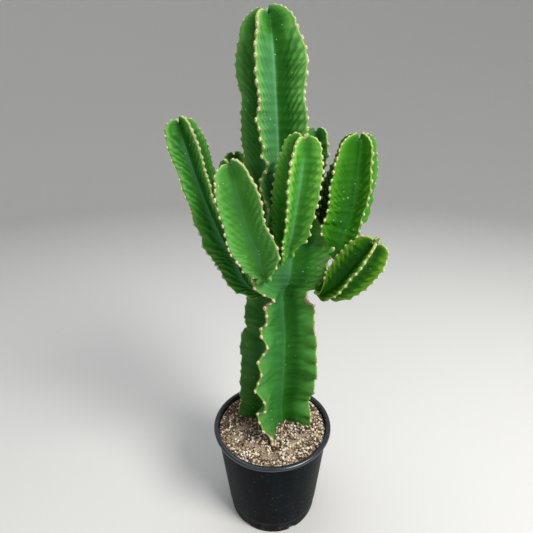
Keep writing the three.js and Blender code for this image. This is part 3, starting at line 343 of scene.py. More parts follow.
# where the thorn shields sit: heights on the central stem, shares of the length on the branches
TEETH = {
    "central_stem": {0: [203.7, 223.05, 242.4, 268.1, 289.4, 309.8, 324, 348.9, 372.8, 387.9, 409.3, 422.6, 436.8, 447.5, 465.4, 480.5, 499.2, 509.1, 520.6, 531.3, 549.9, 563.2, 575.5, 583.5, 593.2, 603.8, 614.5, 626, 643.6, 671.7, 699.9, 725.6, 742.95, 760.3, 783.4, 799.4, 815.4, 830.5, 843.8, 858, 869.5, 880.2, 895.3, 910.3, 917.4, 930.6, 944.8, 960.1], 2: [200.4, 222, 237.9, 253, 269.9, 284.9, 313.3, 329.3, 345.3, 355.1, 373.7, 400.4, 427.9, 438.6, 458.2, 474.3, 495.7, 510.8, 522.4, 536.6, 559.6, 581.25, 602.9, 619.225, 635.55, 651.875, 668.2, 684.4, 700.6, 716.8, 738.1, 759.4, 779.9, 792.3, 804.8, 819.8, 834.9, 848.2, 862.4, 883.7, 889.9, 905.9, 923.6, 938.2, 953.1, 962.4], 3: [211.4, 236.1, 261, 278.3, 295.6, 314.7, 333.8, 351.1, 368.4, 387.5, 406.6, 423.95, 441.3, 456.45, 471.6, 486.75, 501.9, 526.9, 548.2, 561.4, 577.3, 592.8, 608.3, 628.6, 648.9, 668.25, 687.6, 703.05, 718.5, 734.05, 749.6, 772.8, 787.45, 802.1, 817.65, 833.2, 854.5, 871.3, 891.7, 915.6, 937.4, 950.8, 962.4]},
    "arm_left": {2: [0.057, 0.086, 0.137, 0.184, 0.239, 0.288, 0.337, 0.374, 0.412, 0.477, 0.538, 0.602, 0.653, 0.691, 0.734, 0.778, 0.847, 0.88, 0.915, 0.942, 0.993], 3: [0.243, 0.293, 0.343, 0.394, 0.445, 0.491, 0.537, 0.583, 0.629, 0.66, 0.712, 0.739, 0.766, 0.796, 0.828, 0.859, 0.897, 0.926, 0.958, 0.989], 0: [0.165, 0.209, 0.253, 0.297, 0.347, 0.397, 0.447, 0.496, 0.537, 0.579, 0.62, 0.662, 0.717, 0.772, 0.808, 0.837, 0.864, 0.893, 0.926, 0.954, 0.987]},
    "arm_front_left": {3: [0.072, 0.147, 0.23, 0.294, 0.358, 0.459, 0.503, 0.547, 0.602, 0.669, 0.735, 0.805, 0.894, 0.951, 0.99], 0: [0.078, 0.144, 0.21, 0.304, 0.379, 0.477, 0.551, 0.641, 0.714, 0.789, 0.851, 0.913, 0.961, 1]},
    "arm_front_centre": {2: [0, 0.111, 0.202, 0.304, 0.37, 0.436, 0.504, 0.572, 0.633, 0.703, 0.774, 0.842, 0.9, 0.944, 0.993], 3: [0.081, 0.153, 0.231, 0.309, 0.424, 0.518, 0.594, 0.659, 0.729, 0.796, 0.868, 0.93, 0.983], 0: [0.184, 0.276, 0.344, 0.417, 0.52, 0.609, 0.677, 0.755, 0.815, 0.875, 0.935, 0.979]},
    "arm_right": {3: [0.04, 0.089, 0.147, 0.235, 0.356, 0.474, 0.592, 0.657, 0.701, 0.758, 0.865, 0.914, 0.952, 1], 0: [0.08, 0.181, 0.244, 0.307, 0.393, 0.475, 0.552, 0.613, 0.683, 0.763, 0.845, 0.922, 0.98], 1: [0.366, 0.443, 0.524, 0.641, 0.746, 0.805, 0.85, 0.927, 1]},
    "arm_back_right": {0: [0.169, 0.24, 0.311, 0.382, 0.45, 0.518, 0.585, 0.658, 0.731, 0.795, 0.868, 0.946, 1]},
    "arm_back_right_low": {2: [0.233, 0.323, 0.412, 0.486, 0.56, 0.634, 0.721, 0.808, 0.879, 0.96]},
}

# rise of the crests over the last station, depth of the slot between them
TIP = {
    "central_stem": (29, 12), "arm_left": (20, 8), "arm_front_left": (19, 5),
    "arm_front_centre": (23, 8), "arm_right": (26, 12), "arm_lower_right": (18, 8),
    "arm_back_right": (20, 8), "arm_back_right_low": (16, 7), "arm_back_left": (16, 8),
}
# further rise of single crests, ribs 0 to 3, and how close to the centre the crests peak
LIFT = {
    "central_stem": ((4.5, 4, 4, -3.5), 0.17), "arm_left": ((0, 1, 1, 3), 0.26), "arm_front_left": ((4, 2, 5, 0), 0.24),
    "arm_front_centre": ((0, 0, 1, -2), 0.3), "arm_right": ((1, 0, 0, 0), 0.17),
}
# fillet of the valleys, as a share of the reach, and how strongly the side ridges stand
SOFT = {"arm_right": 0.15, "arm_front_left": 0.1, "arm_front_centre": 0.06}
RIDGES = {"arm_left": 1.25, "arm_front_left": 0.95, "arm_front_centre": 1.0, "arm_right": 0.95}
# length without shields at the foot of a rib
BARE = {"arm_front_centre": {0: 40, 1: 40}, "arm_front_left": {0: 30, 1: 30}}
NAMES = list(STEMS)
VALLEY = 0.25
NODE_Z = (515.0, 655.0)
POT_TOP, BEAD_H, RIM_R, BODY_R, BASE_R, WALL, FLOOR = 216.0, 9.0, 127.0, 119.5, 97.0, 2.2, 3.0


def side_r(z):
    return BASE_R + (BODY_R - BASE_R) * z / (POT_TOP - BEAD_H)


# ------------------------------------------------------------------ helpers
def new_mesh(name, verts, faces, smooth=True):
    me = bpy.data.meshes.new(name)
    me.from_pydata([tuple(v) for v in verts], [], [tuple(f) for f in faces])
    me.update()
    if smooth:
        me.polygons.foreach_set("use_smooth", [True] * len(me.polygons))
    ob = bpy.data.objects.new(name, me)
    bpy.context.scene.collection.objects.link(ob)
    return ob


def grid_mesh(name, pts, cap0, cap1, layers):
    """pts: rows x cols x 3 closed round the columns, capped at both ends by one point."""
    n, c = pts.shape[:2]
    verts = np.concatenate([pts.reshape(-1, 3), [cap0, cap1]])
    i, j = np.meshgrid(np.arange(n - 1), np.arange(c), indexing="ij")
    k = (j + 1) % c
    quads = np.stack([i * c + j, i * c + k, (i + 1) * c + k, (i + 1) * c + j], -1).reshape(-1, 4)
    jj = np.arange(c)
    kk = (jj + 1) % c
    t0 = np.stack([np.full(c, n * c), kk, jj], -1)
    t1 = np.stack([np.full(c, n * c + 1), (n - 1) * c + jj, (n - 1) * c + kk], -1)
    me = bpy.data.meshes.new(name)
    nq, nt = len(quads), 2 * c
    me.vertices.add(len(verts))
    me.vertices.foreach_set("co", verts.astype(np.float32).ravel())
    loops = np.concatenate([quads.ravel(), t0.ravel(), t1.ravel()]).astype(np.int32)
    me.loops.add(len(loops))
    me.loops.foreach_set("vertex_index", loops)
    starts = np.concatenate([np.arange(nq) * 4, nq * 4 + np.arange(nt) * 3]).astype(np.int32)
    me.polygons.add(nq + nt)
    me.polygons.foreach_set("loop_start", starts)
    me.update(calc_edges=True)
    me.validate()
    me.polygons.foreach_set("use_smooth", np.ones(nq + nt, dtype=bool))
    for key, arr in layers.items():
        a = me.attributes.new(key, "FLOAT_COLOR", "POINT")
        full = np.concatenate([arr.reshape(-1, 4), np.tile([[1, 0, 0.5, 1]], (2, 1))])
        a.data.foreach_set("color", full.astype(np.float32).ravel())
    ob = bpy.data.objects.new(name, me)
    bpy.context.scene.collection.objects.link(ob)
    return ob


def hermite(x, y, xi):
    """Smooth monotone-ish interpolation through the stations."""
    x, y = np.asarray(x, float), np.asarray(y, float)
    h = np.diff(x)
    d = np.diff(y, axis=0) / (h[:, None] if y.ndim > 1 else h)
    mslope = np.empty_like(y)
    mslope[1:-1] = (d[1:] * (h[:-1, None] if y.ndim > 1 else h[:-1]) + d[:-1] * (h[1:, None] if y.ndim > 1 else h[1:])) / (
        (h[:-1] + h[1:])[:, None] if y.ndim > 1 else (h[:-1] + h[1:]))
    mslope[0], mslope[-1] = d[0], d[-1]
    k = np.clip(np.searchsorted(x, xi, side="right") - 1, 0, len(x) - 2)
    t = (xi - x[k]) / h[k]
    hk = h[k]
    if y.ndim > 1:
        t, hk = t[:, None], hk[:, None]
    t2, t3 = t * t, t * t * t
    return ((2 * t3 - 3 * t2 + 1) * y[k] + (t3 - 2 * t2 + t) * hk * mslope[k]
            + (-2 * t3 + 3 * t2) * y[k + 1] + (t3 - t2) * hk * mslope[k + 1])


def smooth_noise(x, seed, scale):
    """Repeatable one-dimensional noise, about -1 to 1."""
    r = np.random.default_rng(seed)
    n = 4096
    tab = r.uniform(-1, 1, n)
    u = x / scale + 1000
    k = np.floor(u).astype(int)
    f = u - k
    f = f * f * (3 - 2 * f)
    return tab[k % n] * (1 - f) + tab[(k + 1) % n] * f


# ------------------------------------------------------------------ materials
class Nodes:
    """A few lines of node building."""

    def __init__(self, mat):
        mat.use_nodes = True
        self.t = mat.node_tree
        self.t.nodes.clear()
        self.out = self.t.nodes.new("ShaderNodeOutputMaterial")
        self.bsdf = self.t.nodes.new("ShaderNodeBsdfPrincipled")
        self.t.links.new(self.bsdf.outputs[0], self.out.inputs[0])

    def add(self, kind, **inputs):
        nd = self.t.nodes.new(kind)
        for k, v in inputs.items():
            if hasattr(nd, k) and not k[0].isupper():
                setattr(nd, k, v)
            else:
                key = k.replace("_", " ")
                self.set(nd, key, v)
        return nd

    def set(self, nd, key, v):
        sock = nd.inputs[key] if not isinstance(key, int) else nd.inputs[key]
        if isinstance(v, bpy.types.NodeSocket):
            self.t.links.new(v, sock)
        elif isinstance(v, bpy.types.Node):
            self.t.links.new(v.outputs[0], sock)
        else:
            sock.default_value = v

    def coords(self):
        return self.add("ShaderNodeTexCoord").outputs["Object"]

    def noise(self, vec, scale, detail=3, rough=0.55, dist=0.0):
        nd = self.add("ShaderNodeTexNoise", Vector=vec, Scale=scale, Detail=detail, Roughness=rough, Distortion=dist)
        return nd.outputs[0]

    def math(self, op, a, b=0.0, clamp=False):
        nd = self.t.nodes.new("ShaderNodeMath")
        nd.operation = op
        nd.use_clamp = clamp
        self.set(nd, 0, a)
        self.set(nd, 1, b)
        return nd.outputs[0]

    def ramp(self, fac, *stops):
        nd = self.t.nodes.new("ShaderNodeValToRGB")
        el = nd.color_ramp.elements
        while len(el) > 1:
            el.remove(el[-1])
        el[0].position, el[0].color = stops[0][0], (*stops[0][1], 1)
        for p, c in stops[1:]:
            e = el.new(p)
            e.color = (*c, 1)
        self.set(nd, 0, fac)
        return nd.outputs[0]

    def step(self, fac, lo, hi, a=0.0, b=1.0):
        nd = self.t.nodes.new("ShaderNodeMapRange")
        nd.interpolation_type = "SMOOTHSTEP"
        self.set(nd, 0, fac)
        for i, v in enumerate((lo, hi, a, b)):
            nd.inputs[i + 1].default_value = v
        return nd.outputs[0]

    def mix(self, fac, a, b, blend="MIX"):
        nd = self.t.nodes.new("ShaderNodeMix")
        nd.data_type = "RGBA"
        nd.blend_type = blend
        nd.clamp_factor = True
        for key, v in ((0, fac), (6, a), (7, b)):
            if isinstance(v, (bpy.types.NodeSocket, bpy.types.Node)):
                self.set(nd, key, v)
            elif isinstance(v, tuple):
                nd.inputs[key].default_value = (*v, 1)
            else:
                nd.inputs[key].default_value = v
        return nd.outputs[2]

    def bump(self, height, strength, distance, normal=None):
        nd = self.t.nodes.new("ShaderNodeBump")
        nd.inputs["Strength"].default_value = strength
        nd.inputs["Distance"].default_value = distance
        self.set(nd, "Height", height)
        if normal is not None:
            self.set(nd, "Normal", normal)
        return nd.outputs[0]


def skin_material(name, dark, light, young):
    mat = bpy.data.materials.new(name)
    n = Nodes(mat)
    co = n.coords()
    a = n.add("ShaderNodeAttribute", attribute_name="shape")
    sep = n.add("ShaderNodeSeparateColor", Color=a.outputs["Color"])
    q, ridge, age = sep.outputs[0], sep.outputs[1], sep.outputs[2]
    b = n.add("ShaderNodeAttribute", attribute_name="marks")
    sepb = n.add("ShaderNodeSeparateColor", Color=b.outputs["Color"])
    scar, tint, bloom_and_sheen = sepb.outputs[0], sepb.outputs[1], sepb.outputs[2]
    c_ = n.add("ShaderNodeAttribute", attribute_name="depth")
    sepc = n.add("ShaderNodeSeparateColor", Color=c_.outputs["Color"])
    pocket_shade, painted_shade, tipness = sepc.outputs[0], sepc.outputs[1], sepc.outputs[2]
    # broad mottling of the green
    big = n.noise(co, 14, 3, 0.5)
    mid = n.noise(co, 60, 4, 0.6)
    fine = n.noise(co, 320, 3, 0.6)
    f = n.math("ADD", n.math("MULTIPLY", big, 0.6), n.math("MULTIPLY", mid, 0.4))
    col = n.mix(n.step(f, 0.3, 0.72), dark, light)
    # painted highlight on the ridge tops and painted shade in the furrows between them
    col = n.mix(n.math("MULTIPLY", n.step(ridge, 0.3, 1.0), 0.28), col, young)
    col = n.mix(n.math("MULTIPLY", n.step(ridge, 0.3, 0.0), 0.24), col, tuple(c * 0.6 for c in dark))
    # painted shade: the face turned away from the stripe is darker towards the valley
    col = n.mix(n.math("MULTIPLY", painted_shade, 0.62), col, tuple(c * 0.5 for c in dark))
    # young growth is yellower, most of all along the outer part of a rib
    edge = n.step(q, 0.34, 0.0)
    col = n.mix(n.math("MULTIPLY", n.math("MULTIPLY", edge, age), 0.8), col, young)
    col = n.mix(n.math("MULTIPLY", n.step(q, 0.62, 0.05), 0.3), col, young)
    # pale blue-green stripe down each valley: partly real waxy bloom, partly a painted reflection of the sky
    wob = n.noise(co, 45, 3, 0.6)
    stripe = n.math("MULTIPLY", bloom_and_sheen, n.math("ADD", n.math("MULTIPLY", wob, 0.7), 0.6), clamp=True)
    col = n.mix(n.math("MULTIPLY", stripe, 0.62), col, (0.13, 0.36, 0.19))
    # painted shade in the sunken pockets beside the growing point
    col = n.mix(n.math("MULTIPLY", pocket_shade, 0.8), col, tuple(c * 0.5 for c in dark))
    # per-branch tint variation carried by the mesh
    col = n.mix(n.math("MULTIPLY", tint, 0.25), col, dark)
    # thin horny margin, paler near the tip
    horn = n.step(n.math("ADD", q, n.math("MULTIPLY", n.math("SUBTRACT", fine, 0.5), 0.016)), 0.024, 0.0)
    col = n.mix(n.math("MULTIPLY", horn, 0.6), col, (0.26, 0.42, 0.07))
    col = n.mix(n.math("MULTIPLY", n.math("MULTIPLY", horn, n.step(tipness, 0.5, 1.0)), 0.3), col, (0.55, 0.47, 0.24))
    # corky scars and growth breaks
    cork = n.ramp(mid, (0.3, (0.2, 0.13, 0.07)), (0.55, (0.42, 0.31, 0.19)), (0.75, (0.55, 0.45, 0.32)))
    sc = n.step(n.math("ADD", scar, n.math("MULTIPLY", n.math("SUBTRACT", mid, 0.5), 0.8)), 0.42, 0.62)
    col = n.mix(sc, col, cork)
    # specks of wax and grit
    v = n.add("ShaderNodeTexVoronoi", feature="F1", Vector=co, Scale=105.0)
    patch = n.step(n.noise(co, 22, 2, 0.5), 0.44, 0.56)
    dot = n.math("MULTIPLY", n.step(v.outputs["Distance"], 0.11, 0.06), patch)
    pick = n.add("ShaderNodeSeparateColor", Color=v.outputs["Color"])
    few = 0.2 if name in ("skin_arm_right", "skin_arm_front_left", "skin_arm_front_centre") else 0.55
    dot = n.math("MULTIPLY", dot, n.step(pick.outputs[0], few, few + 0.04))
    col = n.mix(n.math("MULTIPLY", dot, 0.85), col, (0.6, 0.75, 0.58))
    n.set(n.bsdf, "Base Color", col)
    rough = n.math("ADD", n.math("MULTIPLY", mid, 0.2), 0.38)
    rough = n.math("ADD", rough, n.math("MULTIPLY", sc, 0.3), clamp=True)
    n.set(n.bsdf, "Roughness", rough)
    n.bsdf.inputs["Specular IOR Level"].default_value = 0.1
    n.bsdf.inputs["Subsurface Weight"].default_value = 0.06
    n.bsdf.inputs["Subsurface Radius"].default_value = (0.6, 1.0, 0.25)
    n.bsdf.inputs["Subsurface Scale"].default_value = 0.004
    bp = n.bump(fine, 0.25, 0.0006)
    bp = n.bump(mid, 0.35, 0.0016, bp)
    bp = n.bump(n.math("MULTIPLY", sc, n.noise(co, 500, 4, 0.7)), 0.7, 0.0012, bp)
    n.set(n.bsdf, "Normal", bp)
    return mat


def shield_material():
    mat = bpy.data.materials.new("thorn_shield")
    n = Nodes(mat)
    co = n.coords()
    a = n.add("ShaderNodeAttribute", attribute_name="kind")
    sep = n.add("ShaderNodeSeparateColor", Color=a.outputs["Color"])
    f = n.noise(co, 420, 4, 0.65)
    cork = n.ramp(f, (0.28, (0.36, 0.2, 0.13)), (0.46, (0.7, 0.48, 0.36)), (0.7, (0.86, 0.72, 0.6)))
    thorn = n.ramp(f, (0.3, (0.1, 0.035, 0.02)), (0.7, (0.26, 0.12, 0.07)))
    col = n.mix(sep.outputs[0], cork, thorn)
    col = n.mix(n.math("MULTIPLY", sep.outputs[1], 0.7), col, (0.13, 0.06, 0.035))
    n.set(n.bsdf, "Base Color", col)
    n.bsdf.inputs["Roughness"].default_value = 0.72
    n.set(n.bsdf, "Normal", n.bump(f, 0.6, 0.0006))
    return mat


# ------------------------------------------------------------------ stems
def stem_rows(name, ds):
    tab = np.array(STEMS[name], float)
    if name == "central_stem":
        tab[0, 2] = 176.0
    P = tab[:, :3]
    s0 = np.r_[0, np.cumsum(np.linalg.norm(np.diff(P, axis=0), axis=1))]
    n = int(s0[-1] / ds) + 1
    s = np.linspace(0, s0[-1], n)
    A = hermite(s0, P, s)
    R = hermite(s0, tab[:, 3:7], s)
    B = np.radians(hermite(s0, tab[:, 7:11], s))
    # light smoothing takes the corners out of the axis
    ker = np.hanning(15)
    ker /= ker.sum()
    for arr in (A,):
        for c in range(arr.shape[1]):
            pad = np.r_[2 * arr[0, c] - arr[7:0:-1, c], arr[:, c], 2 * arr[-1, c] - arr[-2:-9:-1, c]]
            arr[:, c] = np.convolve(pad, ker, "valid")
    if name == "central_stem":
        for k, e in EDGE.items():
            ez, er = np.array(e).T
            t = np.clip((A[:, 2] - ez[0]) / 6, 0, 1) * np.clip((ez[-1] - A[:, 2]) / 6, 0, 1)
            R[:, k] = R[:, k] * (1 - t) + np.interp(A[:, 2], ez, er) * t
    T = np.gradient(A, axis=0)
    T /= np.linalg.norm(T, axis=1)[:, None]
    return s, A, R, B, T


Q = np.array([0.0, 0.012, 0.035, 0.065, 0.1, 0.135, 0.17, 0.205, 0.24, 0.275, 0.315, 0.355, 0.395, 0.44, 0.485, 0.53,
              0.58, 0.63, 0.68, 0.735, 0.79, 0.85, 0.91, 0.965, 1.0])


def star(A, T, R, B, valley, wave, half, fillet, extra):
    """Rows of a star section. Returns points (rows, cols, 3), q (rows, cols) and rib index per column side."""
    n = len(A)
    e1 = np.tile([1.0, 0, 0], (n, 1)) - T[:, :1] * T
    e1 /= np.linalg.norm(e1, axis=1)[:, None]
    e2 = np.cross(T, e1)
    cols, qs, ribs, side = [], [], [], []
    for k in range(4):
        k2 = (k + 1) % 4
        a, b = B[:, k], B[:, k2].copy()
        b = a + np.mod(b - a, 2 * np.pi)
        mid = (a + b) / 2
        ra, rb = R[:, k], R[:, k2]
        rv = np.maximum(valley * (ra + rb) / 2, half[:, k] * 1.5)
        vx, vy = rv * np.cos(mid), rv * np.sin(mid)
        for (r, ang, sg, kk) in ((ra, a, 1, k), (rb, b, -1, k2)):
            ux, uy = np.cos(ang), np.sin(ang)
            px, py = -uy * sg, ux * sg
            hh = np.minimum(half[:, kk], r * 0.4)
            w = wave[:, kk]
            lat = vx * px + vy * py
            # the rib's crest carries its sideways wave, which fades inwards
            cx, cy = ux * r, uy * r
            seq = []
            for qi, qv in enumerate(Q):
                if qi == 0:
                    rr, hq = 0.9, hh * 0.45
                elif qi == 1:
                    rr, hq = 0.35, hh * 0.86
                else:
                    rr, hq = 0.0, hh
                X = cx + px * hq + ux * rr
                Y = cy + py * hq + uy * rr
                bow = np.maximum(lat - hh, 0) * (qv - qv * qv) * 0.95
                x = X + (vx - X) * qv - px * bow
                y = Y + (vy - Y) * qv - py * bow
                # the bottom of the valley is rounded out
                tv = max(0.0, (qv - 0.7) / 0.3) ** 2 * (ra + rb) / 2 * fillet
                x = x + np.cos(mid) * tv
                y = y + np.sin(mid) * tv
                fade = (1 - qv) ** 1.6
                # sideways direction is that of increasing bearing, whichever face it is
                x = x + (-np.sin(ang)) * w * fade
                y = y + (np.cos(ang)) * w * fade
                bulge = extra(kk, sg, qv, r)
                x = x + px * bulge
                y = y + py * bulge
                seq.append((x, y, qv, kk, sg))
            if sg > 0:
                chosen = seq
            else:
                chosen = seq[:-1][::-1]
            for x, y, qv, kk_, sg_ in chosen:
                cols.append(A + x[:, None] * e1 + y[:, None] * e2)
                qs.append(np.full(n, qv))
                ribs.append(kk_)
                side.append(sg_)
    return np.stack(cols, 1), np.stack(qs, 1), np.array(ribs), np.array(side), e1, e2


def build_stem(name, idx):
    trunk = name == "central_stem"
    ds = 1.75 if trunk else 1.4
    s, A, R, B, T = stem_rows(name, ds)
    L = s[-1]
    z = A[:, 2]
    rng = np.random.default_rng(100 + idx)
    # thorn shields along each rib
    shields = []
    for k in range(4):
        if trunk and k == 3:
            pos = [float(np.interp(w[0], z, s)) for w in WAVE3 if not (575 < w[0] < 690)]
            pos = [p for i, p in enumerate(pos) if i == 0 or p - pos[i - 1] > 3]
            gaps = [645 - 200, 625 - 200]
        elif k in TEETH.get(name, {}):
            t = TEETH[name][k]
            pos = [float(np.interp(x, z, s)) if trunk else x * L for x in t]
            while pos[0] > 24:
                pos.insert(0, pos[0] - 15.5 * rng.uniform(0.9, 1.1))
            pos = [x for x in pos if x < L - 1]
        else:
            pos, p = [], rng.uniform(2, 14) + (20 if trunk else 16)
            while p < L - 2:
                pos.append(p)
                base_pitch = 19.5 if (trunk and p < 330) else (17.0 if trunk else 15.5)
                base_pitch *= 1.0 - 0.3 * max(0.0, (p - (L - 60)) / 60)
                p += base_pitch * rng.uniform(0.88, 1.12)
        shields.append(np.array(sorted(pos)))
    # continue the shields over the apex arch
    def near(k, x):
        p = shields[k]
        i = np.clip(np.searchsorted(p, x), 1, len(p) - 1)
        return np.minimum(np.abs(x - p[i - 1]), np.abs(x - p[i]))
    def local(k, x):
        """0 at a shield, rising to 1 at the next."""
        p = np.r_[shields[k][0] - 16, shields[k], shields[k][-1] + 14]
        x = np.clip(x, p[0], p[-1] - 1e-6)
        i = np.clip(np.searchsorted(p, x, side="right") - 1, 0, len(p) - 2)
        u = (x - p[i]) / (p[i + 1] - p[i])
        return u
    R = R.copy()
    if not trunk:
        kk = np.hanning(11)
        for c_i in range(4):
            R[:, c_i] = np.convolve(np.pad(R[:, c_i], 5, "edge"), kk / kk.sum(), "valid")
    for k in BARE.get(name, {}):
        # these ribs run out into the trunk instead of ending in a lobe
        R[:, k] *= 0.5 + 0.5 * np.clip(s / 30, 0, 1) ** 0.8
    half = np.empty_like(R)
    wave = np.zeros_like(R)
    scar = np.zeros((len(s), 4))
    for k in range(4):
        d = near(k, s)
        fade = np.clip(s / 12, 0, 1) if trunk else np.clip((s - BARE.get(name, {}).get(k, 24) + 6) / 12, 0, 1)
        young = np.clip((s - 0.45 * L) / (0.55 * L), 0, 1) if trunk else np.ones_like(s)
        amp = 1.6 if not trunk else 1.3 + 0.5 * young
        if trunk and k in EDGE:
            amp = amp * 0.65
        R[:, k] += fade * (amp * 1.5 * np.exp(-(d / 3.4) ** 2) - amp * 0.55)
        R[:, k] += 0.9 * smooth_noise(s, 900 + idx * 7 + k, 9) * fade
        half[:, k] = 1.9 + 1.3 * np.exp(-(d / 4.5) ** 2)
        if trunk:
            half[:, k] += 0.8 * (1 - young)
        if trunk:
            low = np.clip((560 - z) / 60, 0, 1)
            wk = (6.0 * low + 1.8) * smooth_noise(s, 40 + k, 26) * np.clip(s / 10, 0, 1)
            if k != 3:
                # slow swells of the old wings
                wk = wk + 6.5 * low * np.sin(2 * np.pi * s / 74 + (0.4, 1.9, 3.4, 0)[k]) * np.clip(s / 14, 0, 1)
            if k == 3:
                wz, wv = np.array(WAVE3).T
                order = np.argsort(wz)
                wk = np.interp(z, wz[order], wv[order])
                kk = np.hanning(7)
                wk = 1.1 * np.convolve(np.pad(wk, 3, "edge"), kk / kk.sum(), "valid")
        else:
            wk = (1.3 + 1.2 * np.exp(-s / 60)) * smooth_noise(s, 60 + idx * 5 + k, 22) * np.clip(s / 20, 0, 1)
        wave[:, k] = wk
    pucker = 5.5 * np.clip((520 - z) / 60, 0, 1) * np.clip(s / 20, 0, 1)
    puck = np.zeros_like(R)
    if trunk:
        for k in range(3):
            puck[:, k] = pucker * (np.sin(2 * np.pi * s / 37 + 1.3 * k + 1.4 * smooth_noise(s, 70 + k, 40)) + 0.5 * smooth_noise(s, 90 + k, 15))
        for k in EDGE:
            # a margin pushed sideways keeps its outline from the front
            R[:, k] -= -np.tan(B[:, k]) * (wave[:, k] + puck[:, k])
    v = np.full(len(s), VALLEY)
    if trunk:
        inn = (z > NODE_Z[0]) & (z < NODE_Z[1])
        v[inn] += 0.24 * np.sin(np.pi * (z[inn] - NODE_Z[0]) / (NODE_Z[1] - NODE_Z[0])) ** 1.3
    else:
        v += 0.3 * np.exp(-s / 14)
    fil = np.interp(z, [200, 430, 520, 640], [0.13, 0.12, 0.06, 0.03]) if trunk else np.full(len(s), SOFT.get(name, 0.05))
    slope = np.where(z > 640, 1.2, np.where(z > 480, 0.6, 0.22)) if trunk else np.full(len(s), 1.1)
    if trunk:
        kk = np.hanning(61)
        slope = np.convolve(np.pad(slope, 30, "edge"), kk / kk.sum(), "valid")
    ridge_amp = np.interp(z, [200, 480, 640, 720], [0.5, 0.7, 1.15, 1.35]) if trunk else np.full(len(s), RIDGES.get(name, 1.2))
    # they die away on the youngest growth
    ridge_amp = ridge_amp * np.interp(s, [0, L - 60, L], [1, 1, 0.35])

    ridge_store = {}

    def extra(k, sg, qv, r):
        dist = qv * r * (0.68 + 0.34 * qv)
        sp = s + slope * dist + (2.0 if sg > 0 else -2.0) * smooth_noise(s, 5 + k, 40)
        u = local(k, np.clip(sp, s[0], None))
        prof = 0.5 + 0.5 * np.cos(2 * np.pi * u)
        prof = prof ** 1.6
        env = np.clip(qv / 0.05, 0, 1) * (np.clip((1 - qv) / 0.75, 0, 1)) ** (0.85 if trunk or name == "arm_left" else 1.5)
        ridge_store[(k, sg, round(float(qv), 4))] = prof * env
        if trunk:
            # tight puckers along the margin push both faces the same way
            pk = np.exp(-(qv / 0.3) ** 2) * puck[:, k]
            return ridge_amp * env * (prof * 1.9 - 0.7) + pk * sg
        return ridge_amp * env * (prof * 1.9 - 0.7)

    pts, q, ribs, side, e1, e2 = star(A, T, R, B, v, wave, half, fil, extra)
    ncol = pts.shape[1]
    ridge = np.zeros(pts.shape[:2])
    # ridge intensity per column, which paints highlight on the ridges and shade in the furrows
    order = []
    for k in range(4):
        k2 = (k + 1) % 4
        order += [(k, 1, round(float(x), 4)) for x in Q] + [(k2, -1, round(float(x), 4)) for x in Q[:-1][::-1]]
    for j, key in enumerate(order):
        ridge[:, j] = ridge_store[key]
    if trunk:
        ridge *= np.interp(z, [200, 560, 700], [0.45, 0.6, 1.0])[:, None]
    # ---------------- apex: crests arch over, valleys sink between them
    rise, notch = TIP[name]
    c, t = A[-1], T[-1]
    Rl, Bl = R[-1].copy(), B[-1]
    arch_pts, arch_q, arch_ridge = [], [], []
    M = 30
    up_k, rc = LIFT.get(name, ((0, 0, 0, 0), 0.3))
    up_k = np.array(up_k, float)
    al = np.linspace(0, 1, M + 1)[1:]
    shrink = rc + (1 - rc) * np.cos(al * np.pi / 2) ** 1.15
    lift = np.sin(al * np.pi / 2)
    arc = np.cumsum(np.r_[0, np.hypot(np.diff(np.r_[1, shrink]) * Rl.mean(), np.diff(np.r_[0, lift]) * rise)])[1:]
    tip_shields = []
    for k in range(4):
        p, prev = [], shields[k][-1] - L
        x = prev + 11
        while x < arc[-1] - 1.5:
            if x > 0:
                p.append(x)
            x += 9.5 * rng.uniform(0.9, 1.1)
        tip_shields.append(np.array(p))

    def apex_rows(shr, lif, arcs, inner):
        n = len(shr)
        Rr = np.outer(shr, Rl)
        for k in range(4):
            if len(tip_shields[k]) and not inner:
                d = np.abs(arcs[:, None] - tip_shields[k][None, :]).min(1)
                Rr[:, k] += 1.6 * np.exp(-(d / 3.0) ** 2) - 0.6
        hf = np.outer(np.ones(n), np.maximum(half[-1], 2.2)) + 0.8 * (1 - shr)[:, None]
        hf = np.minimum(hf, Rr * 0.42)
        wv = wave[-1] * shr[:, None]
        fill = v[-1] + (0.62 - v[-1]) * np.clip((1 - shr) / 0.75, 0, 1) ** 1.5
        zero = lambda k, sg, qv, r: np.zeros(n)
        cc = c + np.outer(lif * rise, t)
        P2, q2, _, _, _, _ = star(cc, np.tile(t, (n, 1)), Rr, np.tile(Bl, (n, 1)), fill, wv, hf, np.full(n, fil[-1]), zero)
        g = np.clip((1 - shr) / (1 - rc), 0, 1) ** 1.2
        drop = notch * g[:, None] * q2 ** 0.9
        more = np.array([up_k[o[0]] for o in order])[None] * (1 - q2) ** 0.7 * np.clip(lif, 0, 1)[:, None] ** 1.5
        P2 = P2 + (more - drop)[..., None] * t
        return P2, q2

    P2, q2 = apex_rows(shrink, lift, arc, False)
    # fade the side ridges out over the arch
    last_off = pts[-1] - star(A[-1:], T[-1:], R[-1:], B[-1:], v[-1:], wave[-1:], half[-1:], fil[-1:], lambda k, sg, qv, r: np.zeros(1))[0][0]
    P2 = P2 + last_off[None] * ((1 - al) ** 2)[:, None, None]
    Mi = 8
    bl = np.linspace(0, 1, Mi + 1)[1:]
    shr_in = rc * (1 - bl * 0.8)
    lift_in = 1 - (bl ** 1.4) * (notch * 0.9 / rise)
    P3, q3 = apex_rows(shr_in, lift_in, None, True)
    # inner rows flatten to the growing point
    pole = c + t * (rise - notch - 1.0)
    allp = np.concatenate([pts, P2, P3], 0)
    allq = np.concatenate([q, q2, q3], 0)
    nr = len(allp)
    allridge = np.concatenate([ridge, np.outer((1 - al) ** 2, ridge[-1]), np.zeros((Mi, ncol))], 0)
    srow = np.r_[s, L + arc, L + arc[-1] + bl * 5]
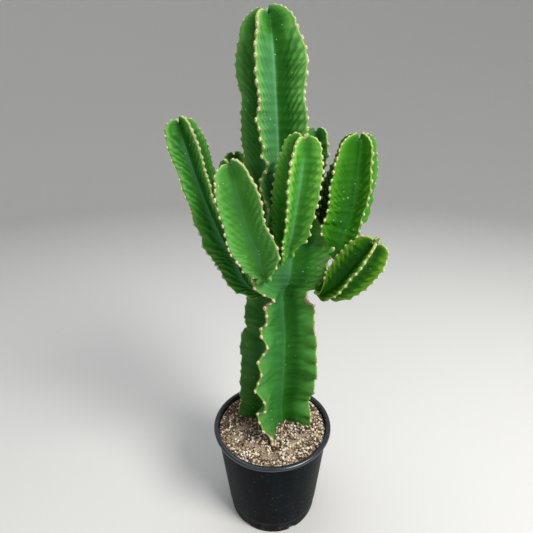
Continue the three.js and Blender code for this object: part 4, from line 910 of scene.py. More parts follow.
    # ---------------- vertex layers
    if trunk:
        agev = np.interp(srow, [0, 330, 470, L], [0.0, 0.05, 0.45, 0.8])
    else:
        agev = np.interp(srow, [0, 0.4 * L, L], [0.25, 0.5, 0.95])
    shape = np.zeros((nr, ncol, 4))
    shape[..., 0] = allq
    shape[..., 1] = np.clip(allridge + 0.0, 0, 1)
    shape[..., 2] = agev[:, None]
    shape[..., 3] = 1
    marks = np.zeros((nr, ncol, 4))
    marks[..., 3] = 1
    nub = np.zeros(nr)
    nub[-Mi:] = np.clip(bl * 1.3, 0, 1)
    marks[..., 0] = np.maximum(marks[..., 0], nub[:, None])
    marks[..., 1] = 0.5 + 0.5 * smooth_noise(srow, 333 + idx, 60)[:, None]
    # waxy stripe, widened by a painted highlight: broad on the face of lower bearing, only a line on the other
    sgn = np.array([o[1] for o in order])
    wide = np.clip((allq - 0.66) / 0.34, 0, 1) ** 1.2
    thin = np.clip((allq - 0.95) / 0.05, 0, 1)
    tipward = np.interp(srow, [0, 25, L - 24, L - 4], [0.3, 1, 1, 0.15])[:, None]
    strength = {"central_stem": 1.0, "arm_left": 0.9, "arm_front_centre": 0.75, "arm_front_left": 0.4,
                "arm_right": 0.1, "arm_lower_right": 0.05}.get(name, 0.5)
    if trunk:
        strength = np.interp(srow, [0, 330, 470], [0.2, 0.35, 1.0])[:, None]
        # painted highlight: a broad pale band over the whole face beside the front crest, the side the light falls on
        crest = np.array([o[0] == 3 and o[1] > 0 for o in order])
        wide = np.where(crest[None], np.maximum(wide, 0.5 * np.clip(allq / 0.25, 0, 1)), wide)
    marks[..., 2] = np.where(sgn[None] > 0, wide, thin) * tipward * strength
    # painted shade: 1 in the sunken pockets under the growing point
    pocket_shade = np.interp(srow, [L - 9, L + 2, L + arc[-1] * 0.75, L + arc[-1] + 3], [0, 0.8, 1, 1])[:, None] * np.clip((allq - 0.62) / 0.3, 0, 1)
    # painted shade on the face turned away from the stripe, darkest just short of the valley
    painted_shade = np.where(sgn[None] < 0, np.exp(-((allq - 0.72) / 0.22) ** 2), 0) * {"arm_right": 0.0, "arm_front_left": 0.0, "arm_front_centre": 0.6}.get(name, 1.0)
    # on these two the painted shade lies on the face on the other side
    other = {"arm_right": 0.92, "arm_front_left": 0.6}.get(name, 0.0)
    painted_shade = np.where(sgn[None] > 0, other, np.maximum(painted_shade, other * np.clip((allq - 0.72) / 0.28, 0, 1)))
    # on the trunk the painted shade is stronger and also covers the lower left wing, which lies in shade
    if trunk:
        painted_shade = np.clip(painted_shade * 1.6, 0, 1)
        wing = np.array([(o[0] == 2 and o[1] > 0) or (o[0] == 3 and o[1] < 0) for o in order])
        painted_shade = np.where(wing[None], np.interp(srow, [0, 300, 420], [1.0, 0.9, 0.1])[:, None], painted_shade)
    extra_l = np.zeros((nr, ncol, 4))
    extra_l[..., 0], extra_l[..., 1], extra_l[..., 3] = pocket_shade, painted_shade, 1
    extra_l[..., 2] = np.interp(srow, [L * 0.55, L], [0, 1])[:, None]
    if trunk:
        # growth breaks: corky margins where the ribs pinch, and old skin at the ground
        for (k, z0, wz, deep) in ((0, 512, 11, 0.16), (3, 522, 14, 0.12), (2, 505, 7, 0.06), (1, 515, 10, 0.1), (0, 455, 4, 0.03), (2, 452, 4, 0.03)):
            zr = allp[..., 2].mean(1)
            g = np.exp(-((zr - z0) / wz) ** 2)
            sel = np.array([o[0] == k for o in order])
            qq = np.array([o[2] for o in order])
            marks[:, sel, 0] = np.maximum(marks[:, sel, 0], g[:, None] * np.exp(-(qq[sel] / deep) ** 2)[None])
        zr = allp[..., 2].mean(1)
        marks[..., 0] = np.maximum(marks[..., 0], (0.42 * np.clip((206 - zr) / 8, 0, 1))[:, None])
        sel = np.array([o[0] == 3 for o in order])
        qq = np.array([o[2] for o in order])
        marks[:, sel, 0] = np.maximum(marks[:, sel, 0], (0.7 * np.clip((262 - zr) / 30, 0, 1))[:, None] * np.exp(-(qq[sel] / 0.05) ** 2)[None])
    start = A[0] - T[0] * 0.5
    ob = grid_mesh(name + "_skin", allp * MM, start * MM, pole * MM, {"shape": shape, "marks": marks, "depth": extra_l})
    # ---------------- shields: centre, outward, along
    out = []
    for k in range(4):
        for p in shields[k]:
            if trunk and p < 26 and k != 3:
                continue
            i = int(np.clip(np.searchsorted(s, p), 0, len(s) - 1))
            if trunk and A[i, 2] < 206:
                continue
            if not trunk and p < BARE.get(name, {}).get(k, 24):
                continue
            u = np.cos(B[i, k]) * e1[i] + np.sin(B[i, k]) * e2[i]
            side_v = -np.sin(B[i, k]) * e1[i] + np.cos(B[i, k]) * e2[i]
            lat = wave[i, k]
            if trunk:
                lat += puck[i, k]
            pos = A[i] + u * (R[i, k] + 0.5) + side_v * lat
            i0, i1 = max(i - 3, 0), min(i + 3, len(s) - 1)
            def crest(ii):
                uu = np.cos(B[ii, k]) * e1[ii] + np.sin(B[ii, k]) * e2[ii]
                ss = -np.sin(B[ii, k]) * e1[ii] + np.cos(B[ii, k]) * e2[ii]
                return A[ii] + uu * (np.interp(s[ii], s, R[:, k])) + ss * wave[ii, k]
            al_v = crest(i1) - crest(i0)
            al_v /= np.linalg.norm(al_v)
            old = 1 - np.interp(p, [0, L], [0, 1]) if trunk else 0.3
            out.append((pos, u, al_v, old, 1.12 if trunk else 1.0))
        for x in tip_shields[k]:
            j = int(np.clip(np.searchsorted(arc, x), 1, M - 1))
            u0 = np.cos(Bl[k]) * e1[-1] + np.sin(Bl[k]) * e2[-1]
            side_v = -np.sin(Bl[k]) * e1[-1] + np.cos(Bl[k]) * e2[-1]
            pa = c + t * (lift[j] * rise + up_k[k] * lift[j] ** 1.5) + u0 * (Rl[k] * shrink[j] + 0.9) + side_v * wave[-1, k] * shrink[j]
            dr = (shrink[j] - shrink[j - 1]) * Rl[k]
            dz = (lift[j] - lift[j - 1]) * rise
            al_v = u0 * dr + t * dz
            al_v /= np.linalg.norm(al_v)
            nrm = u0 * dz - t * dr
            nrm /= np.linalg.norm(nrm)
            out.append((pa, nrm, al_v, 0.1, 0.8))
    return ob, out


def thorn_piece(name, items, seed):
    """Corky shields with a pair of short thorns, one mesh for a whole stem."""
    rng = np.random.default_rng(seed)
    V, F, K = [], [], []
    for pos, nrm, along, old, sc in items:
        nrm = nrm - along * (nrm @ along)
        nrm /= np.linalg.norm(nrm)
        side = np.cross(nrm, along)
        ln = sc * rng.uniform(2.7, 3.6) * (0.95 + 0.35 * old)
        wd = sc * rng.uniform(1.9, 2.6) * (0.95 + 0.3 * old)
        ht = sc * rng.uniform(1.2, 1.9)
        base = len(V)
        rings = [(1.0, -1.2), (1.03, 0.1), (0.86, 0.65), (0.5, 1.0)]
        nseg = 10
        jit = rng.uniform(0.86, 1.14, nseg)
        for rr, hh in rings:
            for j in range(nseg):
                a = 2 * math.pi * j / nseg
                # rhombic outline, longer along the rib
                rad = 1.0 / (abs(math.cos(a)) ** 1.3 + abs(math.sin(a)) ** 1.3) ** (1 / 1.3)
                x = math.cos(a) * rad * ln * rr * jit[j]
                y = math.sin(a) * rad * wd * rr * jit[j]
                V.append(pos + along * x + side * y + nrm * (hh * ht + rng.uniform(-0.12, 0.12)))
                K.append((0, 0.0 if rr > 0.6 else 0.25, 0, 1))
        V.append(pos + nrm * ht * 0.95)
        K.append((0, 0.6, 0, 1))
        V.append(pos - nrm * 1.6)
        K.append((0, 0, 0, 1))
        for r in range(3):
            for j in range(nseg):
                k = (j + 1) % nseg
                F.append((base + r * nseg + j, base + r * nseg + k, base + (r + 1) * nseg + k, base + (r + 1) * nseg + j))
        top = base + 4 * nseg
        for j in range(nseg):
            k = (j + 1) % nseg
            F.append((base + 3 * nseg + j, base + 3 * nseg + k, top))
            F.append((base + k, base + j, top + 1))
        # two short thorns, spread apart
        for sgn in (-1, 1):
            d = nrm * rng.uniform(0.7, 1.0) + side * sgn * rng.uniform(0.5, 0.8) + along * rng.uniform(-0.25, 0.35)
            d /= np.linalg.norm(d)
            o = pos + nrm * ht * 0.6 + side * sgn * wd * 0.22 + along * ln * 0.1
            h = rng.uniform(1.1, 2.1) * sc
            x1 = np.cross(d, along)
            x1 /= np.linalg.norm(x1)
            x2 = np.cross(d, x1)
            b2 = len(V)
            for (rad, hh) in ((0.42, 0.0), (0.26, 0.55), ):
                for j in range(5):
                    a = 2 * math.pi * j / 5
                    V.append(o + d * h * hh + (x1 * math.cos(a) + x2 * math.sin(a)) * rad * sc)
                    K.append((1, 0, 0, 1))
            V.append(o + d * h)
            K.append((1, 0, 0, 1))
            V.append(o - d * 0.3)
            K.append((1, 0, 0, 1))
            for j in range(5):
                k = (j + 1) % 5
                F.append((b2 + j, b2 + k, b2 + 5 + k, b2 + 5 + j))
                F.append((b2 + 5 + j, b2 + 5 + k, b2 + 10))
                F.append((b2 + k, b2 + j, b2 + 11))
    ob = new_mesh(name, np.array(V) * MM, F)
    at = ob.data.attributes.new("kind", "FLOAT_COLOR", "POINT")
    at.data.foreach_set("color", np.array(K, np.float32).ravel())
    bm = bmesh.new()
    bm.from_mesh(ob.data)
    bmesh.ops.recalc_face_normals(bm, faces=bm.faces)
    bm.to_mesh(ob.data)
    bm.free()
    return ob


SKINS = {
    # dark, light, young
    "central_stem": ((0.011, 0.105, 0.005), (0.038, 0.215, 0.02), (0.19, 0.48, 0.11)),
    "arm_left": ((0.011, 0.11, 0.006), (0.038, 0.23, 0.022), (0.14, 0.42, 0.07)),
    "arm_front_left": ((0.036, 0.195, 0.018), (0.078, 0.3, 0.042), (0.14, 0.41, 0.085)),
    "arm_front_centre": ((0.036, 0.195, 0.014), (0.09, 0.36, 0.042), (0.22, 0.55, 0.075)),
    "arm_right": ((0.018, 0.14, 0.004), (0.038, 0.215, 0.008), (0.09, 0.34, 0.014)),
    "arm_lower_right": ((0.012, 0.105, 0.003), (0.038, 0.2, 0.008), (0.18, 0.42, 0.02)),
    "arm_back_right": ((0.016, 0.115, 0.012), (0.042, 0.22, 0.035), (0.12, 0.4, 0.08)),
    "arm_back_right_low": ((0.014, 0.105, 0.01), (0.036, 0.2, 0.025), (0.11, 0.37, 0.06)),
    "arm_back_left": ((0.02, 0.13, 0.014), (0.05, 0.25, 0.04), (0.16, 0.46, 0.08)),
}
shield_mat = shield_material()
for i, nm in enumerate(NAMES):
    ob, items = build_stem(nm, i)
    ob.data.materials.append(skin_material("skin_" + nm, *SKINS[nm]))
    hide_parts(nm)
    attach(ob, "root")
    th = thorn_piece(nm + "_thorns", items, 500 + i)
    th.data.materials.append(shield_mat)
    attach(th, "root")

# ------------------------------------------------------------------ leaf tuft on the lower right branch
def leaf_tuft():
    tab = STEMS["arm_lower_right"]
    a, b = np.array(tab[-2][:3]), np.array(tab[-1][:3])
    t = (b - a) / np.linalg.norm(b - a)
    tip = b + t * (TIP["arm_lower_right"][0] - 3)
    rng = np.random.default_rng(9)
    V, F = [], []
    for k in range(4):
        ang = 2 * math.pi * k / 4 + 0.5
        up_v = np.array([0.1, -0.1, 1.0])
        up_v /= np.linalg.norm(up_v)
        out = np.array([math.cos(ang), math.sin(ang), 0])
        d0 = up_v * 0.9 + out * 0.45
        ln, wd = rng.uniform(7, 10), rng.uniform(1.8, 2.4)
        side = np.cross(out, up_v)
        side /= np.linalg.norm(side)
        base = len(V)
        n = 8
        for j in range(n + 1):
            u = j / n
            c = tip + d0 * ln * u + out * 3.0 * u * u
            w = wd * (math.sin(math.pi * min(1, u * 0.92 + 0.08)) ** 0.8) + 0.25
            nrm = np.cross(side, d0)
            nrm /= np.linalg.norm(nrm)
            for q_, h in ((-1, 0.35), (0, -0.25), (1, 0.35)):
                V.append(c + side * w * q_ + nrm * h * w * 0.6 + nrm * 0.22)
            for q_, h in ((1, 0.35), (0, -0.25), (-1, 0.35)):
                V.append(c + side * w * q_ + nrm * h * w * 0.6 - nrm * 0.22)
        for j in range(n):
            for q_ in range(6):
                r = (q_ + 1) % 6
                F.append((base + j * 6 + q_, base + j * 6 + r, base + (j + 1) * 6 + r, base + (j + 1) * 6 + q_))
        F.append(tuple(base + q_ for q_ in range(5, -1, -1)))
        F.append(tuple(base + n * 6 + q_ for q_ in range(6)))
    ob = new_mesh("leaf_tuft", np.array(V) * MM, F)
    mat = bpy.data.materials.new("young_leaf")
    n = Nodes(mat)
    co = n.coords()
    f = n.noise(co, 260, 3)
    n.set(n.bsdf, "Base Color", n.ramp(f, (0.3, (0.12, 0.3, 0.05)), (0.7, (0.3, 0.5, 0.12))))
    n.bsdf.inputs["Roughness"].default_value = 0.45
    n.set(n.bsdf, "Normal", n.bump(f, 0.3, 0.0004))
    ob.data.materials.append(mat)
    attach(ob, "root")


leaf_tuft()


def sprig(cx, cy, cz):
    """A tiny seedling on the mix: a few pointed leaves from one spot."""
    rng = np.random.default_rng(31)
    V, F = [], []
    for k in range(6):
        a = k * 1.05 + 0.3
        out = np.array([math.cos(a), math.sin(a), 0.0])
        upv = np.array([0, 0, 1.0])
        ln, wd = rng.uniform(3.5, 6.0), rng.uniform(0.9, 1.4)
        side = np.cross(out, upv)
        base = len(V)
        n = 5
        for j in range(n + 1):
            u = j / n
            c = np.array([cx, cy, cz]) + out * ln * u * 0.8 + upv * ln * (0.8 * u - 0.35 * u * u)
            w = wd * (math.sin(math.pi * min(1, 0.12 + u * 0.86))) + 0.12
            for q_ in (-1, 1):
                V.append(c + side * w * q_ + upv * 0.15)
            for q_ in (1, -1):
                V.append(c + side * w * q_ - upv * 0.15)
        for j in range(n):
            for q_ in range(4):
                r = (q_ + 1) % 4
                F.append((base + j * 4 + q_, base + j * 4 + r, base + (j + 1) * 4 + r, base + (j + 1) * 4 + q_))
        F.append(tuple(base + q_ for q_ in range(3, -1, -1)))
        F.append(tuple(base + n * 4 + q_ for q_ in range(4)))
    ob = new_mesh("seedling", np.array(V) * MM, F)
    bm = bmesh.new()
    bm.from_mesh(ob.data)
    bmesh.ops.recalc_face_normals(bm, faces=bm.faces)
    bm.to_mesh(ob.data)
    bm.free()
    ob.data.materials.append(bpy.data.materials["young_leaf"])
    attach(ob, "root")


sprig(-78, 14, 206.0)


# ------------------------------------------------------------------ pot
def pot():
    zb = POT_TOP - BEAD_H
    inner = lambda z: side_r(z) - WALL
    prof = [(0, 0.0), (60, 0.0), (BASE_R - 4, 0.0), (BASE_R - 2.4, 0.3), (BASE_R - 1.3, 1.5), (side_r(4) - 1, 4), (side_r(12) - 1, 12),
            (side_r(20) - 1, 20), (side_r(26.5) - 1.0, 26.5), (side_r(27.6) - 0.75, 27.6), (side_r(28.6) - 0.2, 28.6), (side_r(30), 30)]
    for z in np.linspace(34, zb - 3, 42):
        prof.append((side_r(z), z))
    prof += [(side_r(zb - 1.4) + 0.05, zb - 1.6), (side_r(zb) + 0.6, zb - 0.5), (side_r(zb) + 2.0, zb), (RIM_R - 2.2, zb + 0.25)]
    # rolled bead
    for a in np.linspace(-70, 90, 14):
        r = math.radians(a)
        prof.append((RIM_R - 4.3 + 4.3 * math.cos(r), POT_TOP - 4.6 + 4.5 * math.sin(r)))
    for a in np.linspace(95, 185, 8):
        r = math.radians(a)
        prof.append((inner(zb) + 3.4 + 3.0 * math.cos(r), POT_TOP - 3.1 + 3.0 * math.sin(r)))
    for z in np.linspace(zb - 1, 150, 18):
        prof.append((inner(z), z))
    for z in np.linspace(130, FLOOR + 3, 8):
        prof.append((inner(z), z))
    prof += [(inner(FLOOR) - 2, FLOOR), (60, FLOOR), (0, FLOOR)]
    n = 288
    th = np.arange(n) * 2 * math.pi / n
    rings = []
    for (r, z) in prof[1:-1]:
        # a soft hand-moulded unevenness, under a millimetre
        wob = 0.35 * np.sin(3 * th + 0.7) + 0.25 * np.sin(5 * th + 2.1 + z * 0.01)
        rr = r + (wob if r > 90 else 0) * np.clip(z / 60, 0, 1)
        if abs(z - POT_TOP) < 12:
            zz = z + 0.35 * np.sin(2 * th + 1.0) + 0.2 * np.sin(7 * th)
            zz = np.minimum(zz, POT_TOP + 0.3)
        else:
            zz = np.full(n, z)
        rings.append(np.stack([rr * np.cos(th), rr * np.sin(th), zz], 1))
    P = np.stack(rings)
    layers = {}
    ob = grid_mesh("pot_shell", P * MM, np.array([0, 0, 0.0]), np.array([0, 0, FLOOR]) * MM, layers)
    # drainage openings round the bottom corner
    cut = []
    for i in range(6):
        a = math.radians(-65 + 60 * i)
        bm = bmesh.new()
        bmesh.ops.create_cube(bm, size=1.0)
        bmesh.ops.scale(bm, vec=(20 * MM, 15 * MM, 14 * MM), verts=bm.verts)
        bmesh.ops.bevel(bm, geom=[e for e in bm.edges], offset=3.0 * MM, segments=3, affect="EDGES", profile=0.5)
        bmesh.ops.transform(bm, matrix=Matrix.Rotation(a, 4, "Z") @ Matrix.Translation(((BASE_R - 4) * MM, 0, 0)), verts=bm.verts)
        cut.append(bm)
    me = bpy.data.meshes.new("cut")
    full = bmesh.new()
    for bm in cut:
        tmp = bpy.data.meshes.new("t")
        bm.to_mesh(tmp)
        full.from_mesh(tmp)
        bm.free()
    full.to_mesh(me)
    full.free()
    cutter = bpy.data.objects.new("cutter", me)
    bpy.context.scene.collection.objects.link(cutter)
    md = ob.modifiers.new("drains", "BOOLEAN")
    md.operation = "DIFFERENCE"
    md.solver = "EXACT"
    md.object = cutter
    dg = bpy.context.evaluated_depsgraph_get()
    res = bpy.data.meshes.new_from_object(ob.evaluated_get(dg))
    ob.modifiers.clear()
    ob.data = res
    bpy.data.objects.remove(cutter)
    res.polygons.foreach_set("use_smooth", [True] * len(res.polygons))
    bpy.ops.object.select_all(action="DESELECT")
    ob.select_set(True)
    bpy.context.view_layer.objects.active = ob
    bpy.ops.object.shade_smooth_by_angle(angle=math.radians(38))
    mat = bpy.data.materials.new("pot_plastic")
    n_ = Nodes(mat)
    co = n_.coords()
    sep = n_.add("ShaderNodeSeparateXYZ", Vector=co)
    zc = sep.outputs[2]
    big = n_.noise(co, 9, 4, 0.6)
    fine = n_.noise(co, 700, 3, 0.6)
    streak = n_.add("ShaderNodeMapping", Vector=co)
    streak.inputs["Scale"].default_value = (60, 60, 6)
    st = n_.noise(streak.outputs[0], 1.0, 4, 0.6)
    col = n_.mix(n_.step(big, 0.35, 0.7), (0.0022, 0.0042, 0.0058), (0.0045, 0.0078, 0.0112))
    # dust film, thicker low down and in streaks
    low = n_.step(zc, 0.034, 0.0)
    dust = n_.math("MULTIPLY", n_.step(st, 0.45, 0.75), 0.035)
    dust = n_.math("ADD", dust, n_.math("MULTIPLY", n_.math("MULTIPLY", low, n_.step(n_.noise(co, 55, 5, 0.7), 0.45, 0.66)), 0.5))
    ring = n_.math("MULTIPLY", n_.step(n_.math("ABSOLUTE", n_.math("SUBTRACT", zc, 0.0295)), 0.003, 0.0006), n_.step(n_.noise(co, 90, 4, 0.7), 0.48, 0.62))
    dust = n_.math("ADD", dust, n_.math("MULTIPLY", ring, 0.4), clamp=True)
    col = n_.mix(dust, col, (0.16, 0.125, 0.09))
    # specks of grit
    for sc_, lo, amt in ((110.0, 0.6, 0.5), (190.0, 0.62, 0.6), (320.0, 0.66, 0.55)):
        v = n_.add("ShaderNodeTexVoronoi", feature="F1", Vector=co, Scale=sc_)
        pk = n_.add("ShaderNodeSeparateColor", Color=v.outputs["Color"])
        d = n_.math("MULTIPLY", n_.step(v.outputs["Distance"], 0.16, 0.08), n_.step(pk.outputs[0], lo, lo + 0.03))
        d = n_.math("MULTIPLY", d, n_.step(n_.noise(co, 16, 2), 0.38, 0.5))
        col = n_.mix(n_.math("MULTIPLY", d, amt), col, (0.21, 0.175, 0.135))
    n_.set(n_.bsdf, "Base Color", col)
    r = n_.math("ADD", n_.math("MULTIPLY", big, 0.2), 0.3)
    r = n_.math("ADD", r, n_.math("MULTIPLY", dust, 0.6), clamp=True)
    n_.set(n_.bsdf, "Roughness", r)
    n_.bsdf.inputs["Specular IOR Level"].default_value = 0.03
    bp = n_.bump(fine, 0.12, 0.0003)
    bp = n_.bump(big, 0.3, 0.003, bp)
    n_.set(n_.bsdf, "Normal", bp)
    ob.data.materials.clear()
    ob.data.materials.append(mat)
    # the rolled rim is worn smoother; its lighter, bluer colour is a painted highlight
    rim = bpy.data.materials.new("pot_rim")
    r_ = Nodes(rim)
    rc_ = r_.coords()
    rf = r_.noise(rc_, 240, 4, 0.6)
    grit = r_.step(r_.noise(rc_, 130, 5, 0.7), 0.6, 0.72)
    rcol = r_.mix(r_.math("MULTIPLY", grit, 0.35), r_.ramp(rf, (0.3, (0.01, 0.015, 0.021)), (0.7, (0.022, 0.031, 0.042))), (0.16, 0.13, 0.1))
    r_.set(r_.bsdf, "Base Color", rcol)
    r_.bsdf.inputs["Roughness"].default_value = 0.26
    r_.bsdf.inputs["Specular IOR Level"].default_value = 0.62
    r_.set(r_.bsdf, "Normal", r_.bump(rf, 0.2, 0.0005))
    ob.data.materials.append(rim)
    for po in ob.data.polygons:
        if po.center.z > 0.2078:
            po.material_index = 1
    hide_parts("nursery_pot")
    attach(ob, "root")
    return ob


pot()


# ------------------------------------------------------------------ potting mix
# patches of fine dirt: centre x, y and half widths
DIRT = [(64, -38, 19, 13), (-6, -86, 20, 10), (-64, -8, 16, 12), (-45, -60, 18, 9), (30, -74, 12, 8), (-86, -36, 9, 12), (40, -56, 10, 7),
        (-70, -40, 12, 8), (-20, -70, 9, 6), (88, 20, 9, 12)]


def dirt(x, y):
    out = 0.0
    for cx, cy, wx, wy in DIRT:
        out = out + np.exp(-((x - cx) / wx) ** 2 - ((y - cy) / wy) ** 2)
    return np.clip(out, 0, 1)


def soil_height(x, y):
    r = np.hypot(x, y)
    a = np.arctan2(y, x)
    h = 205.3 + 6.0 * np.clip(1 - r / 108, 0, 1) * (1 + 0.7 * np.cos(a + 0.6))
    h = h + 1.3 * np.sin(x * 0.045 + 1.3) * np.cos(y * 0.05 - 0.4) + 0.9 * np.sin(x * 0.11 - y * 0.07)
    return h


def soil_base():
    nr, nt = 110, 260
    rr = np.linspace(0.5, 116.2, nr)
    th = np.arange(nt) * 2 * math.pi / nt
    Rg, Tg = np.meshgrid(rr, th, indexing="ij")
    X, Y = Rg * np.cos(Tg), Rg * np.sin(Tg)
    rng = np.random.default_rng(4)
    Z = soil_height(X, Y) - 1.6 + rng.uniform(-0.9, 0.9, X.shape)
    D_ = dirt(X, Y)
    Z = Z + 1.9 * D_
    P = np.stack([X, Y, Z], -1)
    lay = np.zeros((nr + 3, nt, 4))
    lay[:nr, :, 0] = D_
    lay[..., 3] = 1
    lay = lay[::-1]
    low = []
    for z, r in ((150, 112.0), (20, 97.5), (6.0, 94.0)):
        low.append(np.stack([r * np.cos(th), r * np.sin(th), np.full(nt, z)], 1))
    P = np.concatenate([P, np.stack(low)], 0)
    # rows run from the crown outwards and down, so the winding is turned over
    P = P[::-1]
    ob = grid_mesh("mix_bed", P * MM, np.array([0, 0, 6.0]) * MM, np.array([0, 0, soil_height(0, 0) - 1.6]) * MM, {"fines": lay})
    mat = bpy.data.materials.new("mix_bed")
    n = Nodes(mat)
    co = n.coords()
    f = n.noise(co, 260, 5, 0.7)
    fa = n.add("ShaderNodeAttribute", attribute_name="fines")
    fs = n.add("ShaderNodeSeparateColor", Color=fa.outputs["Color"])
    rough_c = n.ramp(f, (0.3, (0.02, 0.013, 0.009)), (0.5, (0.075, 0.05, 0.034)), (0.68, (0.2, 0.15, 0.11)))
    fine_c = n.ramp(f, (0.3, (0.18, 0.13, 0.085)), (0.52, (0.36, 0.27, 0.19)), (0.72, (0.54, 0.44, 0.33)))
    n.set(n.bsdf, "Base Color", n.mix(n.step(fs.outputs[0], 0.15, 0.6), rough_c, fine_c))
    n.bsdf.inputs["Roughness"].default_value = 0.95
    n.set(n.bsdf, "Normal", n.bump(f, 1.0, 0.002))
    ob.data.materials.append(mat)
    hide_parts("potting_mix")
    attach(ob, "root")


def trunk_clear(x, y):
    """How far a point is outside the trunk's section at soil level, roughly, in mm."""
    tab = np.array(STEMS["central_stem"][1])
    cx, cy = tab[0], tab[1]
    dx, dy = x - cx, y - cy
    best = 1e9
    for k in range(4):
        a = math.radians(tab[7 + k])
        u, v = dx * math.cos(a) + dy * math.sin(a), -dx * math.sin(a) + dy * math.cos(a)
        if u < -10:
            continue
        over = max(u - tab[3 + k] - 1, 0)
        w = 4.0 + 10.0 * max(0, 1 - u / 45)
        best = min(best, math.hypot(over, max(abs(v) - w, 0)))
    return best


def grain_cloud(name, count, size, flat, seed, colours, rough, subdiv, lift, jag, front=False):
    rng = np.random.default_rng(seed)
    bm = bmesh.new()
    bmesh.ops.create_icosphere(bm, subdivisions=subdiv, radius=1.0)
    base_v = np.array([v.co[:] for v in bm.verts])
    base_f = np.array([[v.index for v in f.verts] for f in bm.faces])
    bm.free()
    V, F, K = [], [], []
    made, tries = 0, 0
    while made < count and tries < count * 6:
        tries += 1
        r, a = 115.5 * math.sqrt(rng.uniform()), rng.uniform(0, 2 * math.pi)
        x, y = r * math.cos(a), r * math.sin(a)
        sz = rng.uniform(*size) * (1.25 if rng.uniform() < 0.12 else 1.0)
        if r > 116.6 - sz * 0.5 or trunk_clear(x, y) < sz * 0.1:
            continue
        if rng.uniform() < 0.93 * dirt(x, y):
            continue
        if front and rng.uniform() > np.clip(0.55 + 0.5 * (-y + 0.5 * x) / 110, 0.15, 1.0):
            continue
        made += 1
        sx, sy, szz = sz * 0.5 * rng.uniform(0.85, 1.35), sz * 0.5 * rng.uniform(0.7, 1.05), sz * 0.5 * rng.uniform(*flat)
        v = base_v * (1 + rng.uniform(-jag, jag, (len(base_v), 1)))
        # chop a few facets so the grains look broken
        for _ in range(3):
            d = rng.normal(size=3)
            d /= np.linalg.norm(d)
            h = v @ d
            cutp = rng.uniform(0.45, 0.8)
            v = v - np.outer(np.maximum(h - cutp, 0) * 0.9, d)
        v = v * [sx, sy, szz]
        ax, ay, az = rng.uniform(-0.6, 0.6), rng.uniform(-0.6, 0.6), rng.uniform(0, 6.28)
        rot = np.array((Matrix.Rotation(az, 3, "Z") @ Matrix.Rotation(ay, 3, "Y") @ Matrix.Rotation(ax, 3, "X")))
        v = v @ rot.T
        zc = soil_height(x, y) + rng.uniform(*lift)
        V.append(v + [x, y, zc])
        F.append(base_f + len(base_v) * (made - 1))
        t = rng.uniform()
        K.append(np.tile([t, rng.uniform(), rng.uniform(), 1], (len(base_v), 1)))
    V = np.concatenate(V)
    F = np.concatenate(F)
    me = bpy.data.meshes.new(name)
    me.vertices.add(len(V))
    me.vertices.foreach_set("co", (V * MM).astype(np.float32).ravel())
    me.loops.add(F.size)
    me.loops.foreach_set("vertex_index", F.astype(np.int32).ravel())
    me.polygons.add(len(F))
    me.polygons.foreach_set("loop_start", (np.arange(len(F)) * 3).astype(np.int32))
    me.update(calc_edges=True)
    me.validate()
    at = me.attributes.new("pick", "FLOAT_COLOR", "POINT")
    at.data.foreach_set("color", np.concatenate(K).astype(np.float32).ravel())
    me.polygons.foreach_set("use_smooth", np.ones(len(F), dtype=bool) if subdiv > 1 else np.zeros(len(F), dtype=bool))
    ob = bpy.data.objects.new(name, me)
    bpy.context.scene.collection.objects.link(ob)
    mat = bpy.data.materials.new(name)
    n = Nodes(mat)
    co = n.coords()
    a = n.add("ShaderNodeAttribute", attribute_name="pick")
    sp = n.add("ShaderNodeSeparateColor", Color=a.outputs["Color"])
    f = n.noise(co, 900, 4, 0.7)
    g = n.math("ADD", n.math("MULTIPLY", sp.outputs[0], 0.8), n.math("MULTIPLY", n.math("SUBTRACT", f, 0.5), 0.5))
    col = n.ramp(g, *colours)
    col = n.mix(n.math("MULTIPLY", n.step(f, 0.42, 0.25), 0.5), col, (0.06, 0.04, 0.03))
    n.set(n.bsdf, "Base Color", col)
    n.bsdf.inputs["Roughness"].default_value = rough
    n.set(n.bsdf, "Normal", n.bump(f, 0.7, 0.0008))
    ob.data.materials.append(mat)
    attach(ob, "root")
    return ob


soil_base()
grain_cloud("mix_pumice", 1150, (2.6, 6.8), (0.6, 1.0), 11,
            ((0.0, (0.26, 0.16, 0.085)), (0.2, (0.48, 0.33, 0.18)), (0.4, (0.6, 0.48, 0.33)), (0.6, (0.8, 0.7, 0.54)), (0.85, (0.97, 0.93, 0.83))), 0.92, 1, (-0.6, 1.4), 0.14, True)
grain_cloud("mix_bark", 1500, (3.0, 7.5), (0.25, 0.6), 12,
            ((0.0, (0.02, 0.012, 0.008)), (0.4, (0.07, 0.04, 0.025)), (0.75, (0.18, 0.11, 0.07)), (1.0, (0.34, 0.24, 0.16))), 0.85, 1, (-0.7, 0.9), 0.2)
grain_cloud("mix_grit", 3600, (1.2, 2.8), (0.6, 1.0), 13,
            ((0.0, (0.06, 0.035, 0.022)), (0.35, (0.28, 0.2, 0.14)), (0.65, (0.55, 0.44, 0.33)), (1.0, (0.9, 0.82, 0.7))), 0.95, 1, (-0.7, 1.1), 0.12)

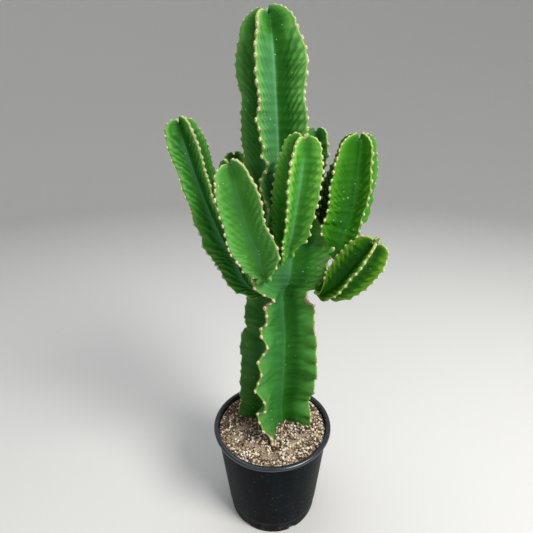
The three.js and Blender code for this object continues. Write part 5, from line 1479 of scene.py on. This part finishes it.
# ------------------------------------------------------------------ stage and light
def stage():
    me = bpy.data.meshes.new("floor")
    bm = bmesh.new()
    # a wide floor that curves up into a plain backdrop all the way round
    prof = [(0.6, 0), (2.0, 0), (3.6, 0)] + [(3.6 + 2.6 * math.sin(a), 2.6 - 2.6 * math.cos(a)) for a in np.linspace(0.06, math.pi / 2, 18)] + [(6.2, 4.0), (6.2, 5.8)]
    nt = 96
    rows = []
    for (r, z) in prof:
        rows.append([bm.verts.new((r * math.cos(2 * math.pi * i / nt), r * math.sin(2 * math.pi * i / nt), z - 0.0005)) for i in range(nt)])
    bm.faces.new(rows[0])
    for a, b in zip(rows[:-1], rows[1:]):
        for i in range(nt):
            j = (i + 1) % nt
            bm.faces.new((a[i], b[i], b[j], a[j]))
    bm.to_mesh(me)
    bm.free()
    me.polygons.foreach_set("use_smooth", [True] * len(me.polygons))
    ob = bpy.data.objects.new("floor", me)
    bpy.context.scene.collection.objects.link(ob)
    mat = bpy.data.materials.new("floor")
    n = Nodes(mat)
    n.bsdf.inputs["Base Color"].default_value = (0.66, 0.652, 0.636, 1)
    n.bsdf.inputs["Specular IOR Level"].default_value = 0.0
    n.bsdf.inputs["Roughness"].default_value = 0.9
    me.materials.append(mat)


def light(name, loc, target, size, energy, colour):
    d = bpy.data.lights.new(name, "AREA")
    d.shape = "DISK"
    d.size = size
    d.energy = energy
    d.color = colour
    o = bpy.data.objects.new(name, d)
    o.location = loc
    o.rotation_euler = (Vector(target) - Vector(loc)).to_track_quat("-Z", "Y").to_euler()
    bpy.context.scene.collection.objects.link(o)


stage()
bpy.context.scene.view_settings.view_transform = "Standard"
light("key", (1.75, -1.5, 2.45), (0, 0, 0.6), 1.5, 114, (1.0, 0.985, 0.95))
light("fill", (-1.6, -2.2, 1.5), (0, 0, 0.5), 1.8, 5, (0.93, 0.97, 1.0))
light("top", (-0.3, 0.7, 3.0), (0, 0, 0.5), 2.0, 24, (0.96, 0.98, 1.0))
world = bpy.data.worlds.new("world")
bpy.context.scene.world = world
world.use_nodes = True
world.node_tree.nodes["Background"].inputs[0].default_value = (0.9, 0.95, 1.0, 1)
world.node_tree.nodes["Background"].inputs[1].default_value = 0.48
